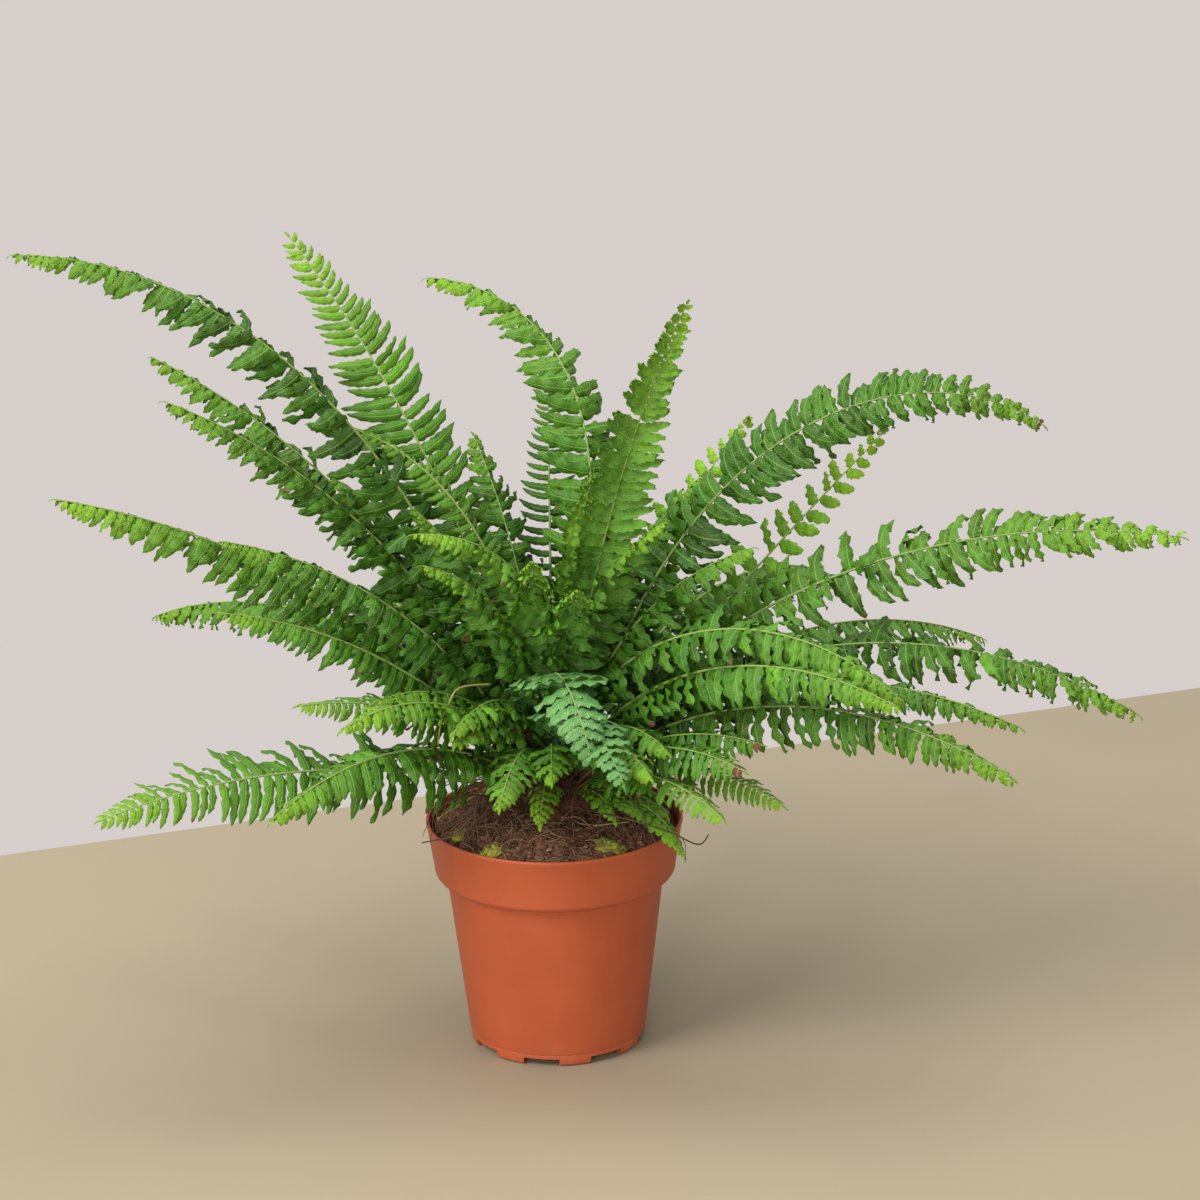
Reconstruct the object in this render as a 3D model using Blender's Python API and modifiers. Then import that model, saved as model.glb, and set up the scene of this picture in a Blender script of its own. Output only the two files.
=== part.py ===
"""A Boston fern in a plastic grower's pot: pot, soil, crown, fronds, runners and moss, each its own solid.

Blender 4.5, metres, +Z up. The origin is the centre of the pot's underside, and the plant spreads widest
along X. Each frond grows from the crown's dome along a path worked out from its own row of growth sizes.
"""

import math

import bmesh
import bpy
from mathutils import Matrix, Vector, noise

OBJECT_NAME = "potted_fern"
GAP = 0.0003  # air left between pieces that touch

# Pot
POT_HEIGHT = 0.109
RIM_RADIUS = 0.060  # outer radius at the lip
BAND_HEIGHT = 0.0235  # wide band below the lip
BAND_TAPER = 0.0036  # how much narrower the band's foot is than the lip
SHOULDER_HEIGHT = 0.0040  # rounded step from the band in to the body
SHOULDER_STEP = 0.0056
BODY_TAPER = 0.0100  # how much narrower the body is at its foot than under the band
WALL = 0.0012
LIP_WALL = 0.0017
LIP_ROUND = 0.0007
CORNER = 0.0010  # rounding where the side meets the base
FLOOR = 0.0016
FOOT_STEP = 0.0034  # how far the raised channel of the floor stands off the table
CENTRE_FOOT_RADIUS = 0.014
RING_FOOT_WIDTH = 0.0045
CHANNEL_FLARE = 0.0010  # slope of the channel's sides
NOTCHES = 8  # openings in the foot ring, with a drain hole beside each
NOTCH_WIDTH = 0.017
NOTCH_START = 259.0  # degrees round the pot to the first notch
DRAIN_RADIUS = 0.0042
DRAIN_INSET = 0.0098  # from the channel's outer side in to the middle of each drain hole
POT_STEPS = 64

# Soil
SOIL_BELOW_LIP = 0.0060  # how far down the soil meets the wall
SEAT_ABOVE_LIP = 0.0060  # top of the mound, where the crown sits
SEAT_MARGIN = 0.0020  # flat soil left round the crown
MOUND_RINGS = 6
MOUND_POWER = 1.8  # how late the mound falls away towards the wall

# Crown: the matted foot that every frond grows from
CROWN_RADIUS = 0.0225
CROWN_HEIGHT = 0.0195
CROWN_RELIEF = 0.0009  # depth of the hollows between old leaf bases
CROWN_GRAIN = 260.0  # hollows per metre

# Fronds
STIPE_RADIUS = 0.0010
STIPE_SHARE = 0.20  # bare stalk before the first leaflets, as a share of the frond's length
MIDRIB_HALF = 0.0006  # half the blade's thickness along its midrib
TIP_HALF = 0.0003
TIP_WIDTH = 0.0012
TEETH = 9  # wide places along the blade, with a narrow one before each
TOOTH_DEPTH = 0.42  # how far a narrow place is cut in, as a share of the width there
NOTCH_PLACE = 0.12  # where a pair's narrow place stands, as a share of the pair
TOOTH_PLACE = 0.62  # where its wide place stands
FULL_WIDTH_AT = 0.56  # share of the frond's length at which its blade is at its widest
SWELL_RATE = 1.67  # how fast it narrows from there down to the stalk
TIP_SHARE = 0.10  # width left at the tip, as a share of the full width
TIP_TAPER = 2.6  # how late the blade tapers to it
PATH_STEPS = 120

# Name: heading (degrees round from +X), rise and fall (elevation in degrees at root and tip), bend (how
# late the frond bends over), length, sway (degrees of turn on the way out), roll (degrees) and half width
# of the blade.
FRONDS = {
    "frond_left_high": (180, 70, 0, 2.0, 0.362, 0, 0, 0.026),
    "frond_left_upright": (145, 72, 44, 1.2, 0.275, 0, -25, 0.027),
    "frond_left_mid_upper": (166, 64, 24, 1.3, 0.264, 0, 0, 0.024),
    "frond_left_mid_lower": (186, 66, 24, 1.4, 0.252, 0, 10, 0.022),
    "frond_left_small_tip": (164, 81, -4, 2.2, 0.212, 0, 0, 0.012),
    "frond_left_long_low": (188, 56, 13, 1.0, 0.262, 0, 10, 0.025),
    "frond_left_inner": (198, 64, 15, 1.2, 0.198, 0, 10, 0.022),
    "frond_left_short": (202, 53, 12, 1.2, 0.182, 0, 0, 0.018),
    "frond_left_tiny": (213, 50, 4, 1.0, 0.138, 0, 0, 0.017),
    "frond_left_light": (227, 57, -14, 1.2, 0.145, 0, 0, 0.016),
    "frond_left_bottom": (207, 26, -12, 1.0, 0.210, 0, 10, 0.024),
    "frond_left_droop": (221, 44, -28, 1.0, 0.160, 0, 10, 0.020),
    "frond_left_hanging": (240, 75, -30, 1.2, 0.108, 0, 0, 0.016),
    "frond_front_left": (256, 58, -40, 1.1, 0.098, 0, 0, 0.018),
    "frond_centre_arch": (14, 79, 2, 2.5, 0.272, 166, 0, 0.026),
    "frond_centre_dark": (90, 73, 55, 1.2, 0.182, 0, 0, 0.022),
    "frond_centre_over": (280, 81, 0, 2.2, 0.172, -88, 0, 0.018),
    "frond_centre_young": (330, 86, 77, 1.0, 0.146, 0, -20, 0.013),
    "frond_centre_right": (336, 80, 64, 1.6, 0.238, 0, -60, 0.020),
    "frond_right_young_upper": (25, 72, 44, 1.0, 0.182, 0, 20, 0.011),
    "frond_right_young_long": (11, 50, 44, 1.0, 0.210, 0, 20, 0.012),
    "frond_right_young_short": (21, 66, 56, 1.0, 0.124, 0, 20, 0.010),
    "frond_right_arch": (6, 69, -38, 2.0, 0.316, 0, 15, 0.022),
    "frond_right_long": (355, 57, -8, 0.9, 0.316, 0, 0, 0.024),
    "frond_right_second": (350, 53, -31, 0.9, 0.284, 0, 0, 0.024),
    "frond_right_thin": (341, 50, -22, 0.9, 0.227, 0, 0, 0.016),
    "frond_right_lower": (332, 47, -25, 0.9, 0.233, 0, 0, 0.022),
    "frond_right_front": (325, 63, -18, 0.9, 0.204, 0, 0, 0.022),
    "frond_right_over": (328, 76, -40, 1.0, 0.220, 6, 0, 0.021),
    "frond_right_dark": (321, 46, -3, 1.0, 0.117, 0, 0, 0.018),
    "frond_right_brown_tip": (313, 45, -10, 1.0, 0.120, 0, 0, 0.018),
    "frond_right_hanging": (326, 36, -23, 1.0, 0.113, 0, 0, 0.015),
    "frond_right_droop": (307, 38, -20, 1.0, 0.115, 0, 0, 0.017),
    "frond_front_right": (297, 60, -25, 1.0, 0.100, 0, 0, 0.017),
    "frond_front_waxy": (278, 76, -46, 1.0, 0.122, 20, 0, 0.018),
    "frond_front_hanging": (264, 45, -52, 1.0, 0.046, 0, 0, 0.009),
    "frond_front_tuft": (200, 80, 40, 1.0, 0.030, 0, 0, 0.005),
    "frond_sporeling": (324, 22, -65, 1.2, 0.062, 0, 0, 0.009),
    "frond_back_a": (30, 40, -28, 1.0, 0.240, 0, 0, 0.024),
    "frond_back_b": (55, 44, -30, 1.0, 0.250, 0, 0, 0.025),
    "frond_back_c": (78, 38, -30, 1.0, 0.230, 0, 0, 0.024),
    "frond_back_d": (100, 45, -28, 1.0, 0.250, 0, 0, 0.025),
    "frond_back_e": (122, 40, -30, 1.0, 0.240, 0, 0, 0.024),
    "frond_back_f": (145, 44, -26, 1.0, 0.240, 0, 0, 0.025),
}

# Runners: bare wiry stems, each given by the places (degrees round from +X, distance out from the crown,
# height above the lip) that it passes through.
RUNNER_RADIUS = 0.0005
RUNNER_PIECES = 5  # straight pieces from one place to the next
RUNNERS = {
    "runner_left_loop": (
        (208.4, 0.0048, 0.014),
        (216.9, 0.0275, 0.022),
        (213.2, 0.0432, 0.016),
        (216.5, 0.0397, 0.006),
    ),
    "runner_left_wire": (
        (219, 0.0045, 0.013),
        (233.1, 0.0275, 0.018),
        (231.1, 0.0443, 0.012),
        (219.8, 0.0556, 0.007),
    ),
    "runner_right_hook": (
        (300.3, 0.0053, 0.012),
        (304.8, 0.0335, 0.016),
        (317.3, 0.0483, 0.010),
        (327.5, 0.0557, 0.001),
        (330.6, 0.0590, 0.005),
    ),
}

# Moss cushions on the soil. Name: degrees round from +X, distance in from the lip, half length, half width.
MOSS_HALF_HEIGHT = 0.0016
MOSS = {
    "moss_front_right": (302, 0.013, 0.0075, 0.0050),
    "moss_front_left": (236, 0.011, 0.0060, 0.0040),
    "moss_left": (205, 0.012, 0.0050, 0.0035),
}

# Sizes worked out from those above
BAND_FOOT_RADIUS = RIM_RADIUS - BAND_TAPER
BODY_TOP_RADIUS = BAND_FOOT_RADIUS - SHOULDER_STEP
BASE_RADIUS = BODY_TOP_RADIUS - BODY_TAPER
SEAT_HEIGHT = POT_HEIGHT + SEAT_ABOVE_LIP
SOIL_EDGE_HEIGHT = POT_HEIGHT - SOIL_BELOW_LIP
BAND_FOOT_HEIGHT = POT_HEIGHT - BAND_HEIGHT
BODY_TOP_HEIGHT = BAND_FOOT_HEIGHT - SHOULDER_HEIGHT
CHANNEL_OUTER_RADIUS = BASE_RADIUS - RING_FOOT_WIDTH
DRAIN_RING_RADIUS = CHANNEL_OUTER_RADIUS - DRAIN_INSET


def clear_scene():
    for item in list(bpy.data.objects):
        bpy.data.objects.remove(item, do_unlink=True)


def new_collection(name):
    collection = bpy.data.collections.new(name)
    bpy.context.scene.collection.children.link(collection)
    return collection


def material(name, colour, roughness):
    made = bpy.data.materials.new(name)
    made.use_nodes = True
    shader = made.node_tree.nodes["Principled BSDF"]
    shader.inputs["Base Color"].default_value = (*colour, 1)
    shader.inputs["Roughness"].default_value = roughness
    shader.inputs["Metallic"].default_value = 0
    return made


def object_from_bmesh(name, shape, collection, coat):
    """Turns the bmesh into an object with outward faces and one material."""
    bmesh.ops.recalc_face_normals(shape, faces=shape.faces)
    mesh = bpy.data.meshes.new(name)
    shape.to_mesh(mesh)
    shape.free()
    made = bpy.data.objects.new(name, mesh)
    collection.objects.link(made)
    if coat:
        mesh.materials.append(coat)
    return made


def turned(name, profile, collection, coat):
    """Turns a profile of (radius, height) places, given from the axis out and down its outer side."""
    mesh = bpy.data.meshes.new(name)
    mesh.from_pydata(
        [(radius, 0, height) for radius, height in profile],
        [(i, i + 1) for i in range(len(profile) - 1)],
        [],
    )
    made = bpy.data.objects.new(name, mesh)
    collection.objects.link(made)
    mesh.materials.append(coat)
    screw = made.modifiers.new("Turn", "SCREW")
    screw.axis = "Z"
    screw.steps = POT_STEPS
    screw.render_steps = POT_STEPS
    screw.use_merge_vertices = True
    screw.merge_threshold = 0.00002
    screw.use_smooth_shade = True
    return made


def arc(centre_radius, centre_height, size, start, end, steps):
    """Places on a rounding, from one angle to another in degrees: 0 points outwards and 90 upwards."""
    angles = [math.radians(start + (end - start) * i / steps) for i in range(steps + 1)]
    return [(centre_radius + size * math.cos(a), centre_height + size * math.sin(a)) for a in angles]


def wall_inner_radius(height):
    """Inner radius of the pot's wall at this height."""
    places = [
        (FOOT_STEP + FLOOR, BASE_RADIUS - WALL),
        (BODY_TOP_HEIGHT, BODY_TOP_RADIUS - WALL),
        (BAND_FOOT_HEIGHT, BAND_FOOT_RADIUS - WALL),
        (POT_HEIGHT - LIP_ROUND, RIM_RADIUS - LIP_WALL),
    ]
    for (low, narrow), (high, wide) in zip(places, places[1:]):
        if height <= high:
            return narrow + (wide - narrow) * (height - low) / (high - low)
    return places[-1][1]


def pot_profile():
    lip_middle = RIM_RADIUS - LIP_WALL / 2
    lip_half = LIP_WALL / 2
    inner = [
        (0, FOOT_STEP + FLOOR),
        (BASE_RADIUS - WALL, FOOT_STEP + FLOOR),
        (BODY_TOP_RADIUS - WALL, BODY_TOP_HEIGHT),
        (BAND_FOOT_RADIUS - WALL, BAND_FOOT_HEIGHT),
        (lip_middle - lip_half, POT_HEIGHT - LIP_ROUND),
    ]
    lip = [
        (lip_middle - lip_half + LIP_ROUND * 0.3, POT_HEIGHT - LIP_ROUND * 0.3),
        (lip_middle, POT_HEIGHT),
        (lip_middle + lip_half - LIP_ROUND * 0.3, POT_HEIGHT - LIP_ROUND * 0.3),
        (RIM_RADIUS, POT_HEIGHT - LIP_ROUND),
    ]
    drop = SHOULDER_HEIGHT
    step = BAND_FOOT_RADIUS - BODY_TOP_RADIUS
    shoulder = [
        (
            BODY_TOP_RADIUS + step * math.cos(math.radians(angle)),
            BAND_FOOT_HEIGHT - drop * math.sin(math.radians(angle)),
        )
        for angle in (0, 30, 60, 90)
    ]
    side_foot = arc(BASE_RADIUS - CORNER, CORNER, CORNER, 0, -90, 3)
    channel_top = CHANNEL_OUTER_RADIUS - CHANNEL_FLARE
    underside = [
        (CHANNEL_OUTER_RADIUS, 0),
        (channel_top, FOOT_STEP),
        (CENTRE_FOOT_RADIUS + CHANNEL_FLARE, FOOT_STEP),
        (CENTRE_FOOT_RADIUS, 0),
        (0, 0),
    ]
    return inner + lip + shoulder + side_foot + underside


def cutter(name, collection, place, turn, maker):
    shape = bmesh.new()
    maker(shape)
    made = object_from_bmesh(name, shape, collection, None)
    made.location = place
    made.rotation_euler = (0, 0, turn)
    made.hide_render = True
    made.display_type = "WIRE"
    return made


def notch_shape(shape):
    """A box across the foot ring that is as tall as the channel is deep."""
    bmesh.ops.create_cube(shape, size=1)
    reach = RING_FOOT_WIDTH * 3
    bmesh.ops.scale(shape, verts=shape.verts, vec=(reach, NOTCH_WIDTH, FOOT_STEP * 2))


def drain_shape(shape):
    bmesh.ops.create_cone(
        shape, cap_ends=True, segments=16, radius1=DRAIN_RADIUS, radius2=DRAIN_RADIUS, depth=FLOOR * 4
    )


def build_pot(parts, cutters):
    pot = turned("pot", pot_profile(), parts, material("pot_plastic", (0.50, 0.115, 0.045), 0.45))
    for i in range(NOTCHES):
        turn = math.radians(NOTCH_START + i * 360 / NOTCHES)
        outward = Vector((math.cos(turn), math.sin(turn), 0))
        cutter(f"cut_notch_{i}", cutters, outward * BASE_RADIUS, turn, notch_shape)
        above = Vector((0, 0, FOOT_STEP + FLOOR / 2))
        cutter(f"cut_drain_{i}", cutters, outward * DRAIN_RING_RADIUS + above, turn, drain_shape)
    cut = pot.modifiers.new("Notches and drains", "BOOLEAN")
    cut.operation = "DIFFERENCE"
    cut.operand_type = "COLLECTION"
    cut.collection = cutters
    cut.solver = "EXACT"


def mound_height(radius):
    """Height of the soil's surface at this distance from the axis."""
    flat = CROWN_RADIUS + SEAT_MARGIN
    edge = wall_inner_radius(SOIL_EDGE_HEIGHT) - GAP
    share = min(1, max(0, (radius - flat) / (edge - flat)))
    return SEAT_HEIGHT - (SEAT_HEIGHT - SOIL_EDGE_HEIGHT) * share**MOUND_POWER


def build_soil(parts):
    flat = CROWN_RADIUS + SEAT_MARGIN
    edge = wall_inner_radius(SOIL_EDGE_HEIGHT) - GAP
    radii = [flat + (edge - flat) * i / MOUND_RINGS for i in range(MOUND_RINGS + 1)]
    surface = [(0, SEAT_HEIGHT)] + [(radius, mound_height(radius)) for radius in radii]
    below = [
        (wall_inner_radius(height) - GAP, height)
        for height in (BAND_FOOT_HEIGHT, BODY_TOP_HEIGHT, FOOT_STEP + FLOOR + GAP)
    ]
    profile = surface + below + [(0, FOOT_STEP + FLOOR + GAP)]
    turned("soil", profile, parts, material("soil", (0.07, 0.04, 0.025), 0.95))


def build_crown(parts):
    """A low dome, hollowed a little between the old leaf bases, that stands on the flat top of the soil."""
    shape = bmesh.new()
    bmesh.ops.create_icosphere(shape, subdivisions=3, radius=1)
    bmesh.ops.bisect_plane(
        shape,
        geom=shape.verts[:] + shape.edges[:] + shape.faces[:],
        plane_co=(0, 0, 0),
        plane_no=(0, 0, -1),
        clear_outer=True,
    )
    bmesh.ops.holes_fill(shape, edges=shape.edges)
    for vert in shape.verts:
        place = vert.co * Vector((CROWN_RADIUS, CROWN_RADIUS, CROWN_HEIGHT))
        hollow = 0.5 + 0.5 * noise.noise(place * CROWN_GRAIN)
        place -= vert.co.normalized() * CROWN_RELIEF * hollow * (vert.co.z > 0.01)
        vert.co = place + Vector((0, 0, SEAT_HEIGHT + GAP))
    bmesh.ops.triangulate(shape, faces=shape.faces)
    object_from_bmesh("crown", shape, parts, material("crown_fibre", (0.13, 0.07, 0.035), 0.9))


def frond_path(row):
    """Places, sideways and upward directions at even steps along the frond, from its root to its tip."""
    heading, rise, fall, bend, length, sway, roll, _ = row
    start_rise = math.radians(rise)
    start_heading = math.radians(heading)
    outward = Vector((math.cos(start_heading), math.sin(start_heading), 0)) * math.cos(start_rise)
    dome = outward * CROWN_RADIUS + Vector((0, 0, math.sin(start_rise) * CROWN_HEIGHT))
    clear_of_dome = 1 + 2 * GAP / CROWN_HEIGHT
    place = dome * clear_of_dome + Vector((0, 0, SEAT_HEIGHT + GAP))
    path = []
    for i in range(PATH_STEPS + 1):
        share = i / PATH_STEPS
        climb = math.radians(rise + (fall - rise) * share**bend)
        turn = math.radians(heading + sway * share)
        flat = Vector((math.cos(turn), math.sin(turn), 0))
        along = flat * math.cos(climb) + Vector((0, 0, math.sin(climb)))
        level = Vector((-math.sin(turn), math.cos(turn), 0))
        across = Matrix.Rotation(math.radians(roll), 3, along) @ level
        path.append((place.copy(), across, along.cross(across)))
        place += along * (length / PATH_STEPS)
    return path


def blade_width(share):
    """Width at this share of the blade's length, as a share of its full width."""
    along_frond = STIPE_SHARE + (1 - STIPE_SHARE) * share
    swell = 1 - SWELL_RATE * max(0, FULL_WIDTH_AT - along_frond)
    return swell * (1 - (1 - TIP_SHARE) * share**TIP_TAPER)


def frond_stations(half_width):
    """(share of the frond's length, half width, half thickness) from root to tip."""
    stations = [
        (0, STIPE_RADIUS, STIPE_RADIUS),
        (STIPE_SHARE / 2, STIPE_RADIUS, STIPE_RADIUS),
        (STIPE_SHARE, STIPE_RADIUS, STIPE_RADIUS),
    ]
    for tooth in range(TEETH):
        for place, cut in ((NOTCH_PLACE, TOOTH_DEPTH), (TOOTH_PLACE, 0)):
            share = (tooth + place) / TEETH
            width = half_width * blade_width(share) * (1 - cut)
            thick = MIDRIB_HALF + (TIP_HALF - MIDRIB_HALF) * share
            stations.append((STIPE_SHARE + (1 - STIPE_SHARE) * share, width, thick))
    stations.append((1, TIP_WIDTH, TIP_HALF))
    return stations


def build_frond(name, row, parts, coat):
    """A loft of lozenges along the frond's path: a stiff stalk, then a thin blade with a toothed edge."""
    path = frond_path(row)
    shape = bmesh.new()
    rings = []
    for share, half_width, half_thick in frond_stations(row[-1]):
        place, across, upward = path[round(share * PATH_STEPS)]
        corners = (
            place + across * half_width,
            place + upward * half_thick,
            place - across * half_width,
            place - upward * half_thick,
        )
        rings.append([shape.verts.new(corner) for corner in corners])
    for before, after in zip(rings, rings[1:]):
        # Each side is split from the midrib behind to the edge ahead, so the blade's two faces stay parallel.
        for i in range(4):
            j = (i + 1) % 4
            if i % 2:
                shape.faces.new((before[i], before[j], after[j]))
                shape.faces.new((before[i], after[j], after[i]))
            else:
                shape.faces.new((before[i], before[j], after[i]))
                shape.faces.new((before[j], after[j], after[i]))
    shape.faces.new(rings[0])
    shape.faces.new(rings[-1])
    object_from_bmesh(name, shape, parts, coat)


def build_fronds(parts):
    green = material("leaf_green", (0.06, 0.20, 0.03), 0.5)
    for name, row in FRONDS.items():
        build_frond(name, row, parts, green)


def through(places, pieces):
    """A smooth line through the given places."""
    ends = [places[0], *places, places[-1]]
    line = []
    for a, b, c, d in zip(ends, ends[1:], ends[2:], ends[3:]):
        for i in range(pieces):
            t = i / pieces
            bend = (2 * a - 5 * b + 4 * c - d) * t**2
            twist = (3 * b - a - 3 * c + d) * t**3
            line.append((2 * b + (c - a) * t + bend + twist) / 2)
    line.append(places[-1])
    return line


def runner_place(heading, clear_of_crown, above_lip):
    turn = math.radians(heading)
    outward = Vector((math.cos(turn), math.sin(turn), 0))
    return outward * (CROWN_RADIUS + clear_of_crown) + Vector((0, 0, POT_HEIGHT + above_lip))


def build_runners(parts):
    coat = material("runner", (0.10, 0.05, 0.03), 0.7)
    for name, places in RUNNERS.items():
        line = through([runner_place(*place) for place in places], RUNNER_PIECES)
        curve = bpy.data.curves.new(name, "CURVE")
        curve.dimensions = "3D"
        curve.bevel_depth = RUNNER_RADIUS
        curve.bevel_resolution = 1
        curve.use_fill_caps = True
        spline = curve.splines.new("POLY")
        spline.points.add(len(line) - 1)
        for point, place in zip(spline.points, line):
            point.co = (*place, 1)
        curve.materials.append(coat)
        parts.objects.link(bpy.data.objects.new(name, curve))


def build_moss(parts):
    """Low cushions that lie along the soil's slope, just clear of it."""
    coat = material("moss", (0.25, 0.35, 0.05), 0.9)
    for name, (heading, inset, half_length, half_width) in MOSS.items():
        distance = RIM_RADIUS - inset
        turn = math.radians(heading)
        outward = Vector((math.cos(turn), math.sin(turn), 0))
        reach = half_width
        drop = mound_height(distance - reach) - mound_height(distance + reach)
        slope = math.atan2(drop, 2 * reach)
        upward = Vector((math.sin(slope) * outward.x, math.sin(slope) * outward.y, math.cos(slope)))
        mean = (mound_height(distance - reach) + mound_height(distance + reach)) / 2
        bulge = mound_height(distance) - mean
        place = outward * distance + Vector((0, 0, mound_height(distance)))
        shape = bmesh.new()
        bmesh.ops.create_icosphere(shape, subdivisions=2, radius=1)
        bmesh.ops.scale(shape, verts=shape.verts, vec=(half_width, half_length, MOSS_HALF_HEIGHT))
        made = object_from_bmesh(name, shape, parts, coat)
        made.location = place + upward * (MOSS_HALF_HEIGHT + GAP + bulge)
        made.rotation_euler = (0, slope, turn)


def main():
    clear_scene()
    parts = new_collection(OBJECT_NAME)
    cutters = new_collection("cutters")
    cutters.hide_render = True
    build_pot(parts, cutters)
    build_soil(parts)
    build_crown(parts)
    build_fronds(parts)
    build_runners(parts)
    build_moss(parts)


main()
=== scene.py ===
"""A Boston fern in a plastic grower's pot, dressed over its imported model. Blender 4.5, metres, +Z up."""

import math
import random

import bpy
from mathutils import Matrix, Vector, noise


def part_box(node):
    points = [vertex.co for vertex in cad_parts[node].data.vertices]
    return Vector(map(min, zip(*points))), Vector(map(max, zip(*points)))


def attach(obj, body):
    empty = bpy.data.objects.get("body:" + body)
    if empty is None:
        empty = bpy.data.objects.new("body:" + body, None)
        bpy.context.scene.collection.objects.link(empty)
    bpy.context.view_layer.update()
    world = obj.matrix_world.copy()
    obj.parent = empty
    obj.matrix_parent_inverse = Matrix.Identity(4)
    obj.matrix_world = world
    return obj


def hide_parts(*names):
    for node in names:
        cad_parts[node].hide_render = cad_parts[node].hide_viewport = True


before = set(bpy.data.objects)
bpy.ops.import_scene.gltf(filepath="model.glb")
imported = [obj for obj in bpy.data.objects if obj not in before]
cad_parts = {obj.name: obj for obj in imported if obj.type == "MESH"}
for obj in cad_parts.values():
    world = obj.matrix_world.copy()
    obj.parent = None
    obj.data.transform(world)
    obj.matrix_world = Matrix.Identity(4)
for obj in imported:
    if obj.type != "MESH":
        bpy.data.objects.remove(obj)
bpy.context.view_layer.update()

# ---------------------------------------------------------------- sizes
_, POT_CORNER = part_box("pot")
CROWN_CORNER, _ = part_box("crown")
POT_HEIGHT = POT_CORNER.z
RIM_RADIUS = POT_CORNER.x
BAND_HEIGHT = 0.0235
BAND_FOOT_RADIUS = RIM_RADIUS - 0.0036
SHOULDER_HEIGHT = 0.0040
BODY_TOP_RADIUS = BAND_FOOT_RADIUS - 0.0056
BASE_RADIUS = BODY_TOP_RADIUS - 0.0100
WALL = 0.0012
LIP_WALL = 0.0017
FLOOR = 0.0016
FOOT_STEP = 0.0034
NOTCHES = 8
FIRST_NOTCH = 259  # heading, in degrees
NOTCH_DEPTH = 0.0135
NOTCH_WIDTH = 0.017
DRAIN_RADIUS = 0.0042
DRAIN_CIRCLE = 0.0265
SOIL_EDGE_HEIGHT = POT_HEIGHT - 0.0060
SOIL_EDGE_RADIUS = 0.0575
SOIL_DEPTH = 0.012
STREWN_RADIUS = SOIL_EDGE_RADIUS * 0.965  # loose bits stay inside this
SEAT_HEIGHT = CROWN_CORNER.z
CROWN_RADIUS = 0.0225
CROWN_HEIGHT = 0.0195
MOUND_FLAT = CROWN_RADIUS + 0.002
MOUND_POWER = 1.8
CRUMBS_STREWN = 620
STRANDS_STREWN = 520
CROWN_SCALES = 760
WIRES = 34

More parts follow.
